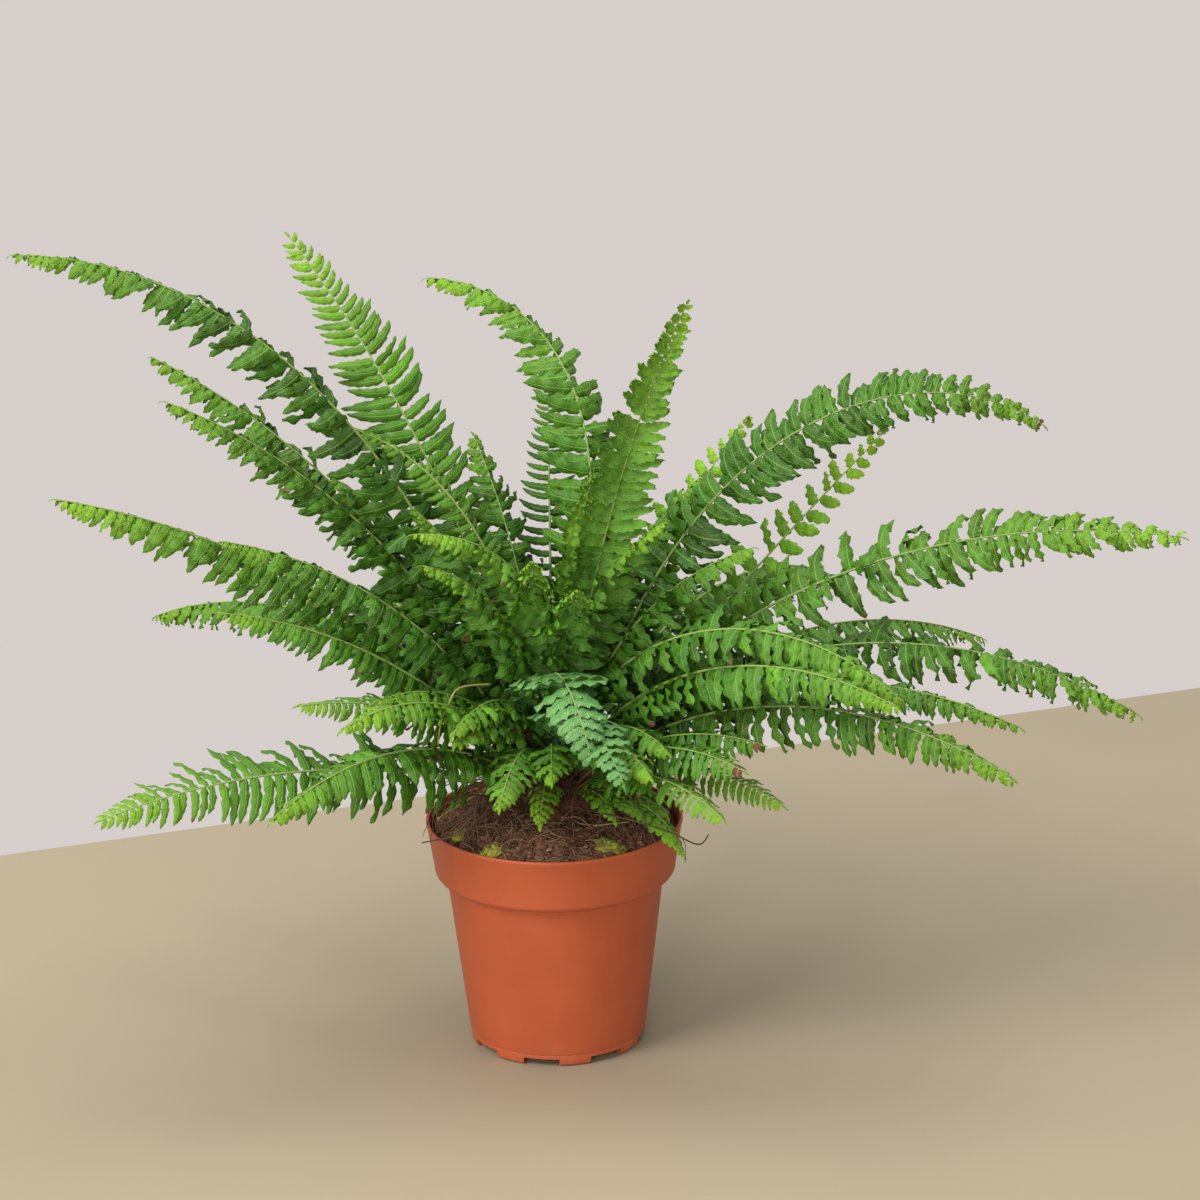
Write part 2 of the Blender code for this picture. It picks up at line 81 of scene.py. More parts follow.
# Growth of each frond: heading, rise, fall, bend, length, sway, roll, half width; then how it is clothed:
# leaflet kind, droop of the leaflets, unruliness, shade (0 dark to 1 bright: the frond's own green with
# painted light and shade), youth (0 to 1, or below 0 where withered), and how far the leaflets are turned
# about the stalk.
FRONDS = {
    "left_high": ((180, 70, 0, 2.0, 0.362, 0, 0, 0.026), "wavy", 22, 1.5, 0.26, 0.12, -12),
    "left_upright": ((145, 72, 44, 1.2, 0.275, 0, -25, 0.027), "plain", 2, 0.7, 0.5, 0.25, 0),
    "left_mid_upper": ((166, 64, 24, 1.3, 0.264, 0, 0, 0.024), "wavy", 20, 1.4, 0.28, 0.14, -10),
    "left_mid_lower": ((186, 66, 24, 1.4, 0.252, 0, 10, 0.022), "wavy", 20, 1.4, 0.32, 0.14, -12),
    "left_small_tip": ((164, 81, -4, 2.2, 0.212, 0, 0, 0.012), "plain", 10, 0.9, 0.45, 0.35, -15),
    "left_long_low": ((188, 56, 13, 1.0, 0.262, 0, 10, 0.025), "wavy", 26, 1, 0.34, 0.26, -25),
    "left_inner": ((198, 64, 15, 1.2, 0.198, 0, 10, 0.022), "wavy", 22, 1.1, 0.38, 0.1, -20),
    "left_short": ((202, 53, 12, 1.2, 0.182, 0, 0, 0.018), "plain", 18, 0.9, 0.42, 0.2, -20),
    "left_tiny": ((213, 50, 4, 1.0, 0.138, 0, 0, 0.017), "plain", 20, 0.7, 0.5, 0.25, -25),
    "left_light": ((227, 57, -14, 1.2, 0.145, 0, 0, 0.016), "broad", 16, 0.9, 0.62, 0.35, -12),
    "left_bottom": ((207, 26, -12, 1.0, 0.210, 0, 10, 0.024), "plain", 8, 0.8, 0.48, 0.26, -42),
    "left_droop": ((221, 44, -28, 1.0, 0.160, 0, 10, 0.020), "broad", 18, 0.8, 0.45, 0.18, -22),
    "left_hanging": ((240, 75, -30, 1.2, 0.108, 0, 0, 0.016), "broad", 20, 0.9, 0.44, 0.14, 0),
    "front_left": ((256, 58, -40, 1.1, 0.098, 0, 0, 0.018), "broad", 18, 0.9, 0.4, 0.14, 0),
    "centre_arch": ((14, 79, 2, 2.5, 0.272, 166, 0, 0.026), "wavy", 14, 0.9, 0.42, 0.22, 0),
    "centre_dark": ((90, 73, 55, 1.2, 0.182, 0, 0, 0.022), "narrow", 24, 0.35, 0.22, 0.05, 0),
    "centre_over": ((280, 81, 0, 2.2, 0.172, -88, 0, 0.018), "wavy", 20, 1, 0.55, 0.3, 0),
    "centre_young": ((330, 86, 77, 1.0, 0.146, 0, -20, 0.013), "young", -30, 0.9, 0.90, 0.75, 0),
    "centre_right": ((336, 80, 64, 1.6, 0.238, 0, -60, 0.020), "wavy", 0, 0.8, 0.62, 0.4, 0),
    "right_young_upper": ((25, 72, 44, 1.0, 0.182, 0, 20, 0.015), "sparse", -10, 1, 0.8, 0.62, 15),
    "right_young_long": ((11, 50, 44, 1.0, 0.210, 0, 20, 0.017), "sparse", -12, 1, 0.72, 0.58, 20),
    "right_young_short": ((21, 66, 56, 1.0, 0.124, 0, 20, 0.014), "sparse", -10, 1, 0.76, 0.6, 20),
    "right_arch": ((6, 69, -38, 2.0, 0.316, 0, 15, 0.022), "curl", 0, 1.2, 0.24, 0.12, 34),
    "right_long": ((355, 57, -8, 0.9, 0.316, 0, 0, 0.024), "curl", -2, 1.5, 0.28, 0.28, 32),
    "right_second": ((350, 53, -31, 0.9, 0.284, 0, 0, 0.024), "curl", 14, 1.5, 0.22, 0.14, 12),
    "right_thin": ((341, 50, -22, 0.9, 0.227, 0, 0, 0.016), "wavy", 24, 1.1, 0.22, 0.1, 10),
    "right_lower": ((332, 47, -25, 0.9, 0.233, 0, 0, 0.022), "wavy", 18, 0.9, 0.3, 0.16, 22),
    "right_front": ((325, 63, -18, 0.9, 0.204, 0, 0, 0.022), "wavy", 16, 0.8, 0.48, 0.14, 18),
    "right_over": ((328, 76, -40, 1.0, 0.220, 6, 0, 0.021), "wavy", 12, 1, 0.42, 0.16, 16),
    "right_dark": ((321, 46, -3, 1.0, 0.117, 0, 0, 0.018), "plain", 26, 0.6, 0.30, 0.05, 20),
    "right_brown_tip": ((313, 45, -10, 1.0, 0.120, 0, 0, 0.018), "plain", 20, 0.6, 0.40, 0.10, 20),
    "right_hanging": ((326, 36, -23, 1.0, 0.113, 0, 0, 0.015), "plain", 14, 0.5, 0.60, 0.40, 18),
    "right_droop": ((307, 38, -20, 1.0, 0.115, 0, 0, 0.017), "plain", 14, 0.5, 0.55, 0.25, 0),
    "front_right": ((297, 60, -25, 1.0, 0.100, 0, 0, 0.017), "broad", 16, 0.6, 0.50, 0.15, 0),
    "front_waxy": ((278, 76, -46, 1.0, 0.122, 20, 0, 0.018), "waxy", -6, 0.5, 0.75, 0, 0),
    "front_hanging": ((264, 45, -52, 1.0, 0.046, 0, 0, 0.009), "young", 4, 0.5, 0.95, 0.62, 0),
    "front_tuft": ((200, 80, 40, 1.0, 0.030, 0, 0, 0.005), "young", -10, 1, 0.95, 0.75, 0),
    "sporeling": ((324, 22, -65, 1.2, 0.062, 0, 0, 0.009), "young", 4, 0.8, 0.8, 0.5, 0),
    "back_a": ((30, 40, -28, 1.0, 0.240, 0, 0, 0.024), "plain", 24, 0.7, 0.42, 0.15, 0),
    "back_b": ((55, 44, -30, 1.0, 0.250, 0, 0, 0.025), "wavy", 24, 0.8, 0.38, 0.15, 0),
    "back_c": ((78, 38, -30, 1.0, 0.230, 0, 0, 0.024), "plain", 20, 0.6, 0.46, 0.15, 0),
    "back_d": ((100, 45, -28, 1.0, 0.250, 0, 0, 0.025), "wavy", 28, 0.8, 0.36, 0.15, 0),
    "back_e": ((122, 40, -30, 1.0, 0.240, 0, 0, 0.024), "plain", 22, 0.6, 0.48, 0.20, 0),
    "back_f": ((145, 44, -26, 1.0, 0.240, 0, 0, 0.025), "wavy", 24, 0.8, 0.40, 0.15, 0),
}
# Short fronds in the thick of the plant. They are looks only, and fill the space between the fronds above.
INNER_FRONDS = {
    "inner_a": ((200, 80, 44, 1.4, 0.150, 10, 0, 0.022), "broad", 14, 1.1, 0.40, 0.12, 0),
    "inner_b": ((228, 82, 20, 1.6, 0.140, -14, 0, 0.020), "broad", 16, 1.1, 0.50, 0.18, 0),
    "inner_c": ((250, 84, 30, 1.8, 0.135, 20, 0, 0.019), "wavy", 12, 1.1, 0.58, 0.30, 0),
    "inner_d": ((290, 80, 24, 1.6, 0.132, -16, 0, 0.020), "wavy", 14, 1.1, 0.46, 0.15, 0),
    "inner_e": ((312, 82, 34, 1.6, 0.150, 12, 0, 0.020), "broad", 12, 1.1, 0.52, 0.22, 0),
    "inner_f": ((340, 74, 20, 1.4, 0.150, 8, 0, 0.021), "wavy", 16, 1.1, 0.38, 0.12, 0),
    "inner_g": ((176, 74, 30, 1.4, 0.170, -8, 0, 0.022), "broad", 16, 1.1, 0.34, 0.10, 0),
    "inner_h": ((20, 78, 40, 1.4, 0.150, 0, 0, 0.020), "wavy", 14, 1.1, 0.30, 0.08, 0),
    "inner_i": ((120, 80, 44, 1.4, 0.160, 0, 0, 0.022), "wavy", 14, 1.1, 0.30, 0.08, 0),
    "inner_j": ((60, 78, 40, 1.4, 0.165, 0, 0, 0.022), "wavy", 14, 1.1, 0.32, 0.08, 0),
    "inner_k": ((240, 66, -20, 1.2, 0.095, 0, 0, 0.017), "broad", 16, 1.1, 0.34, 0.20, 0),
    "inner_l": ((270, 60, -30, 1.2, 0.085, 0, 0, 0.016), "broad", 16, 1.1, 0.3, 0.15, 0),
    "inner_m": ((306, 62, -24, 1.2, 0.095, 0, 0, 0.017), "broad", 16, 1.1, 0.36, 0.12, 0),
    "inner_n": ((218, 64, -8, 1.2, 0.115, 0, 0, 0.018), "broad", 18, 1.1, 0.42, 0.25, 0),
    "inner_o": ((336, 60, -6, 1.2, 0.120, 0, 0, 0.018), "wavy", 18, 1.1, 0.34, 0.12, 0),
    "inner_waxy": ((262, 88, -70, 1.3, 0.136, 34, 0, 0.021), "waxy", 0, 0.6, 0.75, 0, 0),
    "inner_tuft": ((244, 70, 20, 1.0, 0.068, 0, 0, 0.009), "young", -8, 1.1, 0.90, 0.62, 0),
    "withered_left": ((212, 50, -14, 1.0, 0.080, 0, 0, 0.007), "young", 30, 1.6, 0.30, -1, 0),
    "withered_front": ((250, 66, 10, 1.2, 0.062, 0, 0, 0.005), "young", 50, 1.6, 0.30, -1, 0),
    "seedling_a": ((316, 30, -50, 1.2, 0.040, 8, 0, 0.0075), "young", 4, 0.8, 0.62, 0.40, 0),
    "seedling_b": ((330, 26, -40, 1.2, 0.044, -6, 0, 0.0080), "young", 4, 0.8, 0.58, 0.35, 0),
    "seedling_c": ((306, 34, -60, 1.2, 0.034, 0, 0, 0.0070), "young", 4, 0.8, 0.66, 0.45, 0),
    "seedling_d": ((342, 28, -40, 1.2, 0.036, 0, 0, 0.0070), "young", 4, 0.8, 0.50, 0.30, 0),
}
PATH_STEPS = 120
STIPE_SHARE = 0.13  # bare stalk before the first leaflets
LEAFLET_LENGTH = 0.025  # size at which every leaflet is modelled
LEAFLET_THICK = 0.00035
LEAFLET_CUP = 0.0016  # how far the margins fall below the rib on a leaflet 0.008 wide
STALK_RADIUS = 0.0010
FULL_STALK_LENGTH = 0.3  # fronds shorter than this have a thinner stalk

# Leaflet kinds: half width, swelling of the base towards the frond's tip, depth of the teeth, bluntness,
# hook (degrees), droop along its length (degrees), twist (degrees), ruffle, number of variants, how far apart
# they stand and how much of that gap one leaflet fills.
KINDS = {
    "plain": (0.0040, 0.60, 0.18, 0.35, 26, 34, 16, 0.0009, 5, 1.0, 0.94),
    "wavy": (0.0044, 0.55, 0.21, 0.38, 24, 50, 34, 0.0017, 6, 1.0, 1.30),
    "curl": (0.0042, 0.45, 0.20, 0.40, 34, 58, 50, 0.0020, 6, 0.95, 1.40),
    "narrow": (0.0030, 0.50, 0.16, 0.25, 34, 46, 8, 0.0005, 3, 1.0, 0.62),
    "young": (0.0058, 0.25, 0.17, 0.75, 8, 34, 20, 0.0014, 4, 1.3, 1.35),
    "sparse": (0.0064, 0.20, 0.17, 0.80, 8, 36, 26, 0.0018, 4, 2.3, 0.74),
    "broad": (0.0054, 0.45, 0.19, 0.55, 18, 44, 22, 0.0014, 4, 1.0, 1.32),
    "waxy": (0.0056, 0.35, 0.26, 0.66, 12, 26, 14, 0.0013, 4, 1.45, 1.26),
}
# Fronds whose last leaflets are scorched, and the share of the blade where that starts.
SCORCHED = {"right_brown_tip": 0.93, "right_dark": 0.95, "right_arch": 0.985}


# ---------------------------------------------------------------- small helpers
def deselect():
    for obj in bpy.context.selected_objects:
        obj.select_set(False)


def activate(obj):
    deselect()
    obj.select_set(True)
    bpy.context.view_layer.objects.active = obj


def apply_modifiers(obj):
    activate(obj)
    for modifier in list(obj.modifiers):
        bpy.ops.object.modifier_apply(modifier=modifier.name)


def settle(obj):
    """Puts the object's place into its mesh."""
    obj.data.transform(obj.matrix_world)
    obj.matrix_world = Matrix.Identity(4)


def join(pieces, name):
    activate(pieces[0])
    for piece in pieces:
        piece.select_set(True)
    if len(pieces) > 1:
        bpy.ops.object.join()
    whole = bpy.context.view_layer.objects.active
    whole.name = name
    whole.data.name = name
    return whole


def finish_piece(obj, slot, *nodes):
    bpy.context.view_layer.update()
    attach(obj, "root")
    if nodes:
        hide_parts(*nodes)


def copy_of(template):
    """A copy with a mesh of its own."""
    copy = template.copy()
    copy.data = template.data.copy()
    bpy.context.scene.collection.objects.link(copy)
    return copy


def facing(heading):
    """The level direction at this heading, in degrees from +X towards +Y."""
    turn = math.radians(heading)
    return Vector((math.cos(turn), math.sin(turn), 0))


def smooth(obj):
    obj.data.polygons.foreach_set("use_smooth", [True] * len(obj.data.polygons))


def set_vector(mesh, name, domain, values):
    attribute = mesh.attributes.get(name) or mesh.attributes.new(name, "FLOAT_VECTOR", domain)
    attribute.data.foreach_set("vector", values)


def mound_height(radius):
    share = min(1, max(0, (radius - MOUND_FLAT) / (SOIL_EDGE_RADIUS - MOUND_FLAT)))
    return SEAT_HEIGHT - (SEAT_HEIGHT - SOIL_EDGE_HEIGHT) * share**MOUND_POWER


# ---------------------------------------------------------------- material nodes
class Finish:
    """A material with one Principled shader, and short ways to add and link its nodes."""

    def __init__(self, name, roughness, specular=0.5):
        self.material = bpy.data.materials.new(name)
        self.material.use_nodes = True
        self.nodes = self.material.node_tree.nodes
        self.links = self.material.node_tree.links
        self.shader = self.nodes["Principled BSDF"]
        self.shader.inputs["Roughness"].default_value = roughness
        self.shader.inputs["Specular IOR Level"].default_value = specular
        self.place = self.nodes.new("ShaderNodeTexCoord").outputs["Object"]

    def put(self, value, socket):
        if isinstance(value, bpy.types.NodeSocket):
            self.links.new(value, socket)
        elif isinstance(value, (tuple, list)) and len(value) == 3 and len(socket.default_value) == 4:
            socket.default_value = (*value, 1)
        else:
            socket.default_value = value

    def math(self, operation, a, b=0.0, c=0.0, clamp=False):
        node = self.nodes.new("ShaderNodeMath")
        node.operation = operation
        node.use_clamp = clamp
        for value, socket in zip((a, b, c), node.inputs):
            self.put(value, socket)
        return node.outputs[0]

    def times(self, a, b):
        return self.math("MULTIPLY", a, b)

    def plus(self, a, b):
        return self.math("ADD", a, b)

    def ramp(self, value, low, high, from_value=0.0, to_value=1.0):
        node = self.nodes.new("ShaderNodeMapRange")
        node.interpolation_type = "SMOOTHSTEP"
        for value_in, socket in zip((value, low, high, from_value, to_value), node.inputs):
            self.put(value_in, socket)
        return node.outputs[0]

    def mix(self, share, a, b, kind="MIX"):
        node = self.nodes.new("ShaderNodeMix")
        node.data_type = "RGBA"
        node.blend_type = kind
        self.put(share, node.inputs[0])
        self.put(a, node.inputs[6])
        self.put(b, node.inputs[7])
        return node.outputs[2]

    def stretched(self, x, y, z):
        node = self.nodes.new("ShaderNodeMapping")
        node.inputs["Scale"].default_value = (x, y, z)
        self.put(self.place, node.inputs["Vector"])
        return node.outputs[0]

    def noise(self, scale, detail=3, rough=0.55, place=None, distortion=0.0):
        node = self.nodes.new("ShaderNodeTexNoise")
        self.put(place or self.place, node.inputs["Vector"])
        node.inputs["Scale"].default_value = scale
        node.inputs["Detail"].default_value = detail
        node.inputs["Roughness"].default_value = rough
        node.inputs["Distortion"].default_value = distortion
        return node.outputs["Fac"]

    def cells(self, scale, feature="F1", output="Distance", place=None):
        node = self.nodes.new("ShaderNodeTexVoronoi")
        node.feature = feature
        self.put(place or self.place, node.inputs["Vector"])
        node.inputs["Scale"].default_value = scale
        return node.outputs[output]

    def attribute(self, name):
        node = self.nodes.new("ShaderNodeAttribute")
        node.attribute_name = name
        split = self.nodes.new("ShaderNodeSeparateXYZ")
        self.put(node.outputs["Vector"], split.inputs[0])
        return split.outputs

    def split(self, vector):
        node = self.nodes.new("ShaderNodeSeparateXYZ")
        self.put(vector, node.inputs[0])
        return node.outputs

    def bump(self, height, distance, strength=1.0):
        node = self.nodes.new("ShaderNodeBump")
        node.inputs["Distance"].default_value = distance
        node.inputs["Strength"].default_value = strength
        self.put(height, node.inputs["Height"])
        self.put(node.outputs[0], self.shader.inputs["Normal"])

    def colour(self, value):
        self.put(value, self.shader.inputs["Base Color"])

    def roughness(self, value):
        self.put(value, self.shader.inputs["Roughness"])


def side_veins(coat, along, from_rib, veins):
    """A wave whose crests run forward from the rib to the teeth."""
    slanted = coat.math("MULTIPLY_ADD", from_rib, -2.0, coat.times(along, veins))
    return coat.math("SINE", coat.times(slanted, math.tau))


def leaf_finish():
    """Leaf green that runs from dark to bright with the leaflet's shade, which is painted light and shade
    over the frond's own green, and from old to young and yellow, with midrib, side veins and dry margins.
    """
    coat = Finish("fern_leaf", 0.45, 0.30)
    along, across, under = coat.attribute("leaf_place")
    shade, youth, dry = coat.attribute("leaf_tone")
    from_rib = coat.math("ABSOLUTE", across)
    broad = coat.noise(45, 2)
    mottle = coat.noise(420, 3, 0.6)
    # lit is the leaflet's shade with broad noise: painted shade at its dark end and painted light at its
    # bright end, over the frond's own green.
    lit = coat.plus(shade, coat.math("MULTIPLY_ADD", broad, 0.5, -0.25))
    dark_green = coat.mix(coat.ramp(lit, 0.0, 0.55), (0.008, 0.036, 0.005), (0.034, 0.142, 0.009))
    green = coat.mix(coat.ramp(lit, 0.5, 1.0), dark_green, (0.090, 0.285, 0.012))
    green = coat.mix(youth, green, (0.245, 0.46, 0.016))
    mottled = coat.ramp(mottle, 0.3, 0.7, 0.82, 1.16)
    green = coat.mix(1.0, green, mottled, "MULTIPLY")
    vein = side_veins(coat, along, from_rib, 13.0)
    veined = coat.ramp(vein, 0.35, 1.0, 0.0, 0.30)
    green = coat.mix(veined, green, coat.mix(0.5, green, (0.13, 0.31, 0.03)))
    rib = coat.ramp(from_rib, 0.16, 0.03)
    green = coat.mix(coat.times(rib, 0.45), green, (0.22, 0.42, 0.07))
    edge = coat.ramp(from_rib, 0.82, 1.0)
    fringe = coat.times(edge, coat.ramp(coat.noise(330, 2), 0.48, 0.70))
    green = coat.mix(coat.times(fringe, 0.55), green, (0.13, 0.13, 0.02))
    tip_line = coat.ramp(coat.plus(along, coat.math("MULTIPLY_ADD", mottle, 0.12, dry)), 1.0, 1.12)
    brown = coat.mix(mottle, (0.075, 0.030, 0.012), (0.24, 0.115, 0.045))
    green = coat.mix(tip_line, green, brown)
    pale = coat.mix(0.4, green, (0.11, 0.25, 0.05))
    coat.colour(coat.mix(coat.times(under, 0.75), green, pale))
    dull = coat.plus(coat.times(under, 0.3), mottle)
    coat.roughness(coat.ramp(dull, 0.2, 1.0, 0.36, 0.66))
    swell = coat.math("MULTIPLY_ADD", vein, 0.35, coat.times(rib, -1.2))
    coat.bump(coat.plus(swell, coat.times(coat.noise(700, 3), 1.3)), 0.00022, 0.75)
    return coat.material


def waxy_finish():
    """A bluish bloom over pale green, for the frond that catches the light at the front."""
    coat = Finish("fern_leaf_waxy", 0.40, 0.45)
    along, across, _ = coat.attribute("leaf_place")
    from_rib = coat.math("ABSOLUTE", across)
    mottle = coat.noise(420, 3, 0.6)
    green = coat.mix(coat.noise(60, 2), (0.062, 0.210, 0.038), (0.150, 0.350, 0.090))
    green = coat.mix(coat.ramp(mottle, 0.35, 0.75, 0.0, 0.4), green, (0.26, 0.46, 0.20))
    rib = coat.ramp(from_rib, 0.16, 0.03)
    green = coat.mix(coat.times(rib, 0.5), green, (0.06, 0.25, 0.05))
    vein = side_veins(coat, along, from_rib, 11.0)
    green = coat.mix(coat.ramp(vein, 0.3, 1.0, 0.0, 0.35), green, (0.07, 0.27, 0.07))
    coat.colour(green)
    coat.roughness(coat.ramp(mottle, 0.2, 0.9, 0.28, 0.50))
    coat.bump(coat.math("MULTIPLY_ADD", vein, -0.5, coat.times(rib, -1.2)), 0.00025, 0.8)
    return coat.material


def stalk_finish():
    """Ribbed stalk: brown and scaly at the foot, pale yellow-green further out."""
    coat = Finish("fern_stalk", 0.5, 0.4)
    share, tone, _ = coat.attribute("stalk_place")
    fine = coat.noise(600, 3, 0.6, coat.stretched(1, 1, 0.25))
    green = coat.mix(tone, (0.10, 0.19, 0.03), (0.30, 0.42, 0.11))
    brown = coat.mix(fine, (0.075, 0.032, 0.012), (0.20, 0.105, 0.04))
    turned = coat.ramp(coat.math("MULTIPLY_ADD", fine, 0.12, share), 0.10, 0.34)
    green = coat.mix(turned, brown, green)
    coat.colour(coat.mix(coat.ramp(fine, 0.5, 0.8, 0.0, 0.35), green, (0.36, 0.27, 0.10)))
    coat.bump(fine, 0.00015, 0.8)
    return coat.material


def pot_finish():
    """Injection-moulded terracotta-coloured plastic: matte, faintly grained, scuffed near its foot."""
    coat = Finish("pot_plastic", 0.5, 0.42)
    height = coat.split(coat.place)[2]
    cloud = coat.noise(22, 3)
    grain = coat.noise(2200, 2, 0.6)
    base = coat.mix(coat.ramp(cloud, 0.3, 0.7), (0.405, 0.074, 0.023), (0.455, 0.088, 0.029))
    base = coat.mix(coat.ramp(grain, 0.3, 0.7, 0.0, 0.10), base, (0.58, 0.17, 0.08))
    flow = coat.noise(1.0, 3, 0.6, coat.stretched(26, 26, 700))
    base = coat.mix(coat.ramp(flow, 0.62, 0.80, 0.0, 0.10), base, (0.58, 0.17, 0.07))
    scuff = coat.noise(1.0, 4, 0.7, coat.stretched(110, 110, 1500))
    near_foot = coat.ramp(height, 0.0075, 0.0035)
    marks = coat.times(near_foot, coat.ramp(scuff, 0.60, 0.68))
    base = coat.mix(coat.times(marks, 0.45), base, (0.72, 0.33, 0.20))
    dust = coat.times(coat.ramp(height, 0.016, 0.002), coat.ramp(coat.noise(160, 4), 0.45, 0.75))
    base = coat.mix(coat.times(dust, 0.22), base, (0.30, 0.17, 0.10))
    inner_dirt = coat.ramp(coat.noise(260, 4, 0.65), 0.55, 0.72)
    top = coat.ramp(height, POT_HEIGHT - 0.0030, POT_HEIGHT - 0.0002)
    dirty = coat.times(coat.times(top, inner_dirt), 0.30)
    base = coat.mix(dirty, base, (0.13, 0.06, 0.03))
    coat.colour(base)
    coat.roughness(coat.ramp(coat.math("MULTIPLY_ADD", grain, 0.4, cloud), 0.3, 1.1, 0.40, 0.58))
    fine = coat.math("MULTIPLY_ADD", marks, 0.8, coat.math("MULTIPLY_ADD", grain, 0.5, flow))
    coat.bump(fine, 0.00006, 0.6)
    return coat.material


def soil_finish():
    coat = Finish("soil_peat", 0.95, 0.2)
    clump = coat.noise(240, 5, 0.7)
    speck = coat.cells(900, output="Color")
    fibre = coat.noise(1.0, 4, 0.6, coat.stretched(420, 1500, 420), 1.5)
    base = coat.mix(coat.ramp(clump, 0.32, 0.68), (0.046, 0.019, 0.011), (0.270, 0.125, 0.070))
    base = coat.mix(coat.ramp(coat.split(speck)[0], 0.72, 0.95, 0.0, 0.75), base, (0.36, 0.19, 0.12))
    base = coat.mix(coat.ramp(fibre, 0.58, 0.70, 0.0, 0.70), base, (0.44, 0.26, 0.16))
    coat.colour(base)
    rough = coat.math("MULTIPLY_ADD", clump, 1.4, fibre)
    coat.bump(coat.plus(rough, coat.cells(1100)), 0.0006, 1.0)
    return coat.material


def crumb_finish():
    """Loose crumbs, chips and strands of peat and coir: each keeps a tone of its own."""
    coat = Finish("soil_crumbs", 0.9, 0.25)
    tone, red, _ = coat.attribute("crumb_tone")
    fine = coat.noise(1500, 3, 0.65)
    base = coat.mix(tone, (0.034, 0.015, 0.009), (0.52, 0.33, 0.20))
    base = coat.mix(coat.times(red, 0.6), base, (0.21, 0.078, 0.042))
    coat.colour(coat.mix(coat.ramp(fine, 0.3, 0.7, 0.0, 0.45), base, (0.03, 0.015, 0.008)))
    coat.bump(fine, 0.0003, 0.9)
    return coat.material


def runner_finish():
    coat = Finish("runner_bark", 0.6, 0.35)
    _, tone, _ = coat.attribute("stalk_place")
    fine = coat.noise(900, 3, 0.6)
    base = coat.mix(fine, (0.030, 0.014, 0.007), (0.11, 0.055, 0.025))
    straw = coat.mix(fine, (0.30, 0.26, 0.07), (0.50, 0.44, 0.18))
    coat.colour(coat.mix(tone, base, straw))
    coat.bump(fine, 0.0002, 0.9)
    return coat.material


def moss_finish():
    coat = Finish("moss_green", 0.85, 0.25)
    height = coat.noise(700, 4, 0.7)
    base = coat.mix(coat.ramp(height, 0.3, 0.7), (0.15, 0.16, 0.015), (0.58, 0.60, 0.09))
    base = coat.mix(coat.ramp(coat.noise(300, 3), 0.55, 0.75, 0.0, 0.6), base, (0.20, 0.11, 0.035))
    coat.colour(base)
    coat.bump(height, 0.0006, 1.0)
    return coat.material


def fibre_finish():
    """Matted crown: rust-brown scales over dark old leaf bases."""
    coat = Finish("crown_fibre", 0.85, 0.25)
    strand = coat.noise(1.0, 4, 0.65, coat.stretched(900, 900, 180), 1.0)
    patch = coat.noise(150, 3)
    base = coat.mix(coat.ramp(patch, 0.35, 0.65), (0.035, 0.015, 0.008), (0.13, 0.052, 0.026))
    coat.colour(coat.mix(coat.ramp(strand, 0.52, 0.70, 0.0, 0.8), base, (0.26, 0.125, 0.055)))
    coat.bump(strand, 0.0006, 1.0)
    return coat.material


LEAF = leaf_finish()
WAXY = waxy_finish()
STALK = stalk_finish()
POT = pot_finish()
SOIL = soil_finish()
CRUMBS = crumb_finish()
RUNNER = runner_finish()
MOSS = moss_finish()
FIBRE = fibre_finish()


# ---------------------------------------------------------------- camera, floor and light
CAMERA_PLACE = (0.0229, -2.057, 0.895)
CAMERA_LENS = 141.45
CAMERA_DOWN = 18.3  # degrees below level
CAMERA_LEAN = 0.9  # degrees


def set_camera():
    data = bpy.data.cameras.new("camera")
    camera = bpy.data.objects.new("camera", data)
    bpy.context.scene.collection.objects.link(camera)
    data.lens = CAMERA_LENS
    data.sensor_width = 36
    data.dof.use_dof = False
    data.clip_end = 50
    tilt = Matrix.Rotation(math.radians(90 - CAMERA_DOWN), 4, "X")
    lean = Matrix.Rotation(math.radians(-CAMERA_LEAN), 4, "Z")
    camera.matrix_world = Matrix.Translation(CAMERA_PLACE) @ tilt @ lean
    bpy.context.scene.camera = camera


def set_room():
    """A matte tan tabletop that ends behind the plant, and a pale plain background beyond it."""
    bpy.ops.mesh.primitive_plane_add(size=1)
    table = bpy.context.active_object
    table.name = "table_top"
    table.scale = (7, 4, 1)
    table.location = (0, -1.2, -0.0004)
    bpy.context.view_layer.update()
    settle(table)
    bpy.ops.object.mode_set(mode="EDIT")
    bpy.ops.mesh.select_all(action="SELECT")
    bpy.ops.mesh.bisect(plane_co=(0, 0.345, 0), plane_no=(-0.335, 0.942, 0), clear_outer=True)
    bpy.ops.object.mode_set(mode="OBJECT")
    coat = Finish("table_tan", 0.6, 0.3)
    cloud = coat.noise(3.0, 2)
    coat.colour(coat.mix(coat.ramp(cloud, 0.3, 0.7), (0.328, 0.276, 0.191), (0.344, 0.290, 0.201)))
    coat.roughness(coat.ramp(cloud, 0.3, 0.7, 0.55, 0.65))
    table.data.materials.append(coat.material)

    world = bpy.data.worlds.new("studio")
    bpy.context.scene.world = world
    world.use_nodes = True
    nodes, links = world.node_tree.nodes, world.node_tree.links
    back = nodes["Background"]
    back.inputs["Color"].default_value = (0.672, 0.622, 0.600, 1)
    back.inputs["Strength"].default_value = 1.0
    fill = nodes.new("ShaderNodeBackground")
    fill.inputs["Color"].default_value = (0.69, 0.66, 0.63, 1)
    fill.inputs["Strength"].default_value = 0.82
    seen = nodes.new("ShaderNodeLightPath")
    either = nodes.new("ShaderNodeMixShader")
    links.new(seen.outputs["Is Camera Ray"], either.inputs[0])
    links.new(fill.outputs[0], either.inputs[1])
    links.new(back.outputs[0], either.inputs[2])
    links.new(either.outputs[0], nodes["World Output"].inputs["Surface"])


